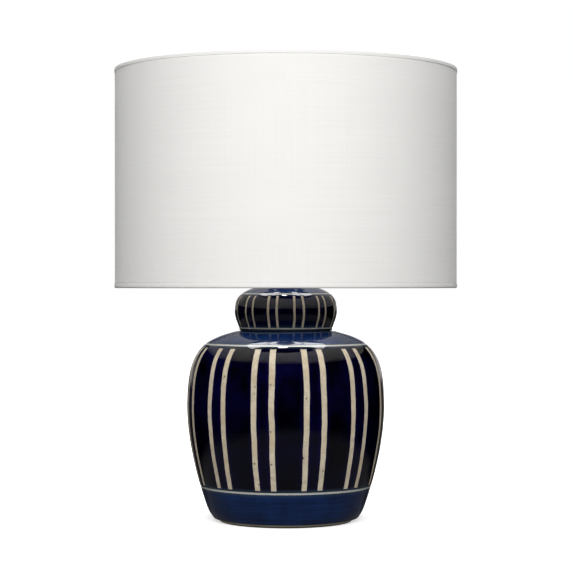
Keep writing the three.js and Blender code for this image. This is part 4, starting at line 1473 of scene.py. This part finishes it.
class LAMP_OT_finial(bpy.types.Operator):
    """Turn the finial's collar and its ball"""

    bl_idname = "lamp.make_finial"
    bl_label = "Finial"

    def execute(self, context):
        brass = antique_brass()
        bottom, top = span("finial_base")
        bore = 3.5 * MM
        turned(
            "finial_collar",
            [(bore, bottom), (0.0075, bottom), (0.0075, bottom + 1.4 * MM), (0.0066, bottom + 2.2 * MM),
             (0.0057, bottom + 3.0 * MM), (0.0055, top - 0.6 * MM), (0.0057, top), (bore, top)],
            brass, "finial_screw", ["finial_base"], 0.3 * MM, 96,
        )
        crown, foot = high("finial_ball").z, low("finial_ball").z
        ball = high("finial_ball").x
        middle, neck = crown - ball, 6 * MM
        start = 0.12 - math.acos(neck / ball)
        outline = [
            (0, 0.570), (bore, 0.570), (bore, foot), (neck - 0.4 * MM, foot), (neck, foot + 0.6 * MM),
            (neck - 0.7 * MM, foot + 1.8 * MM),
        ]
        steps = 28
        for k in range(steps + 1):
            angle = start + (math.pi / 2 - start) * k / steps
            outline.append((ball * math.cos(angle) if k < steps else 0.0, middle + ball * math.sin(angle)))
        piece("finial_knob", spun(outline, 96, closed=False), brass, "finial", ["finial_ball"])
        return {"FINISHED"}


# ---------------------------------------------------------------------------
# The add-on
# ---------------------------------------------------------------------------

OPERATORS = (
    LAMP_OT_stage, LAMP_OT_jar, LAMP_OT_base, LAMP_OT_neck, LAMP_OT_harp, LAMP_OT_socket, LAMP_OT_switch,
    LAMP_OT_bulb, LAMP_OT_shade, LAMP_OT_spider, LAMP_OT_finial,
)
SETTINGS = {
    "lamp_stage": StageSettings,
    "lamp_jar": JarSettings,
    "lamp_shade": ShadeSettings,
    "lamp_fittings": FittingSettings,
}


class LAMP_PT_panel(bpy.types.Panel):
    """The lamp's sizes, colours and pieces"""

    bl_idname = "LAMP_PT_panel"
    bl_label = "Striped Jar Lamp"
    bl_space_type = "VIEW_3D"
    bl_region_type = "UI"
    bl_category = "Lamp"

    def draw(self, context):
        for name, group in SETTINGS.items():
            box = self.layout.box()
            for prop in group.__annotations__:
                box.prop(getattr(context.scene, name), prop)
        for operator in OPERATORS:
            self.layout.operator(operator.bl_idname)


def register():
    for cls in (*SETTINGS.values(), *OPERATORS, LAMP_PT_panel):
        bpy.utils.register_class(cls)
    for name, group in SETTINGS.items():
        setattr(bpy.types.Scene, name, bpy.props.PointerProperty(type=group))


def unregister():
    for name in SETTINGS:
        delattr(bpy.types.Scene, name)
    for cls in reversed((*SETTINGS.values(), *OPERATORS, LAMP_PT_panel)):
        bpy.utils.unregister_class(cls)


def main():
    register()
    bpy.ops.lamp.make_stage()
    bpy.ops.lamp.make_jar()
    bpy.ops.lamp.make_base()
    bpy.ops.lamp.make_neck()
    bpy.ops.lamp.make_harp()
    bpy.ops.lamp.make_socket()
    bpy.ops.lamp.make_switch()
    bpy.ops.lamp.make_bulb()
    bpy.ops.lamp.make_shade()
    bpy.ops.lamp.make_spider()
    bpy.ops.lamp.make_finial()
    bpy.context.view_layer.update()


if __name__ == "__main__":
    main()
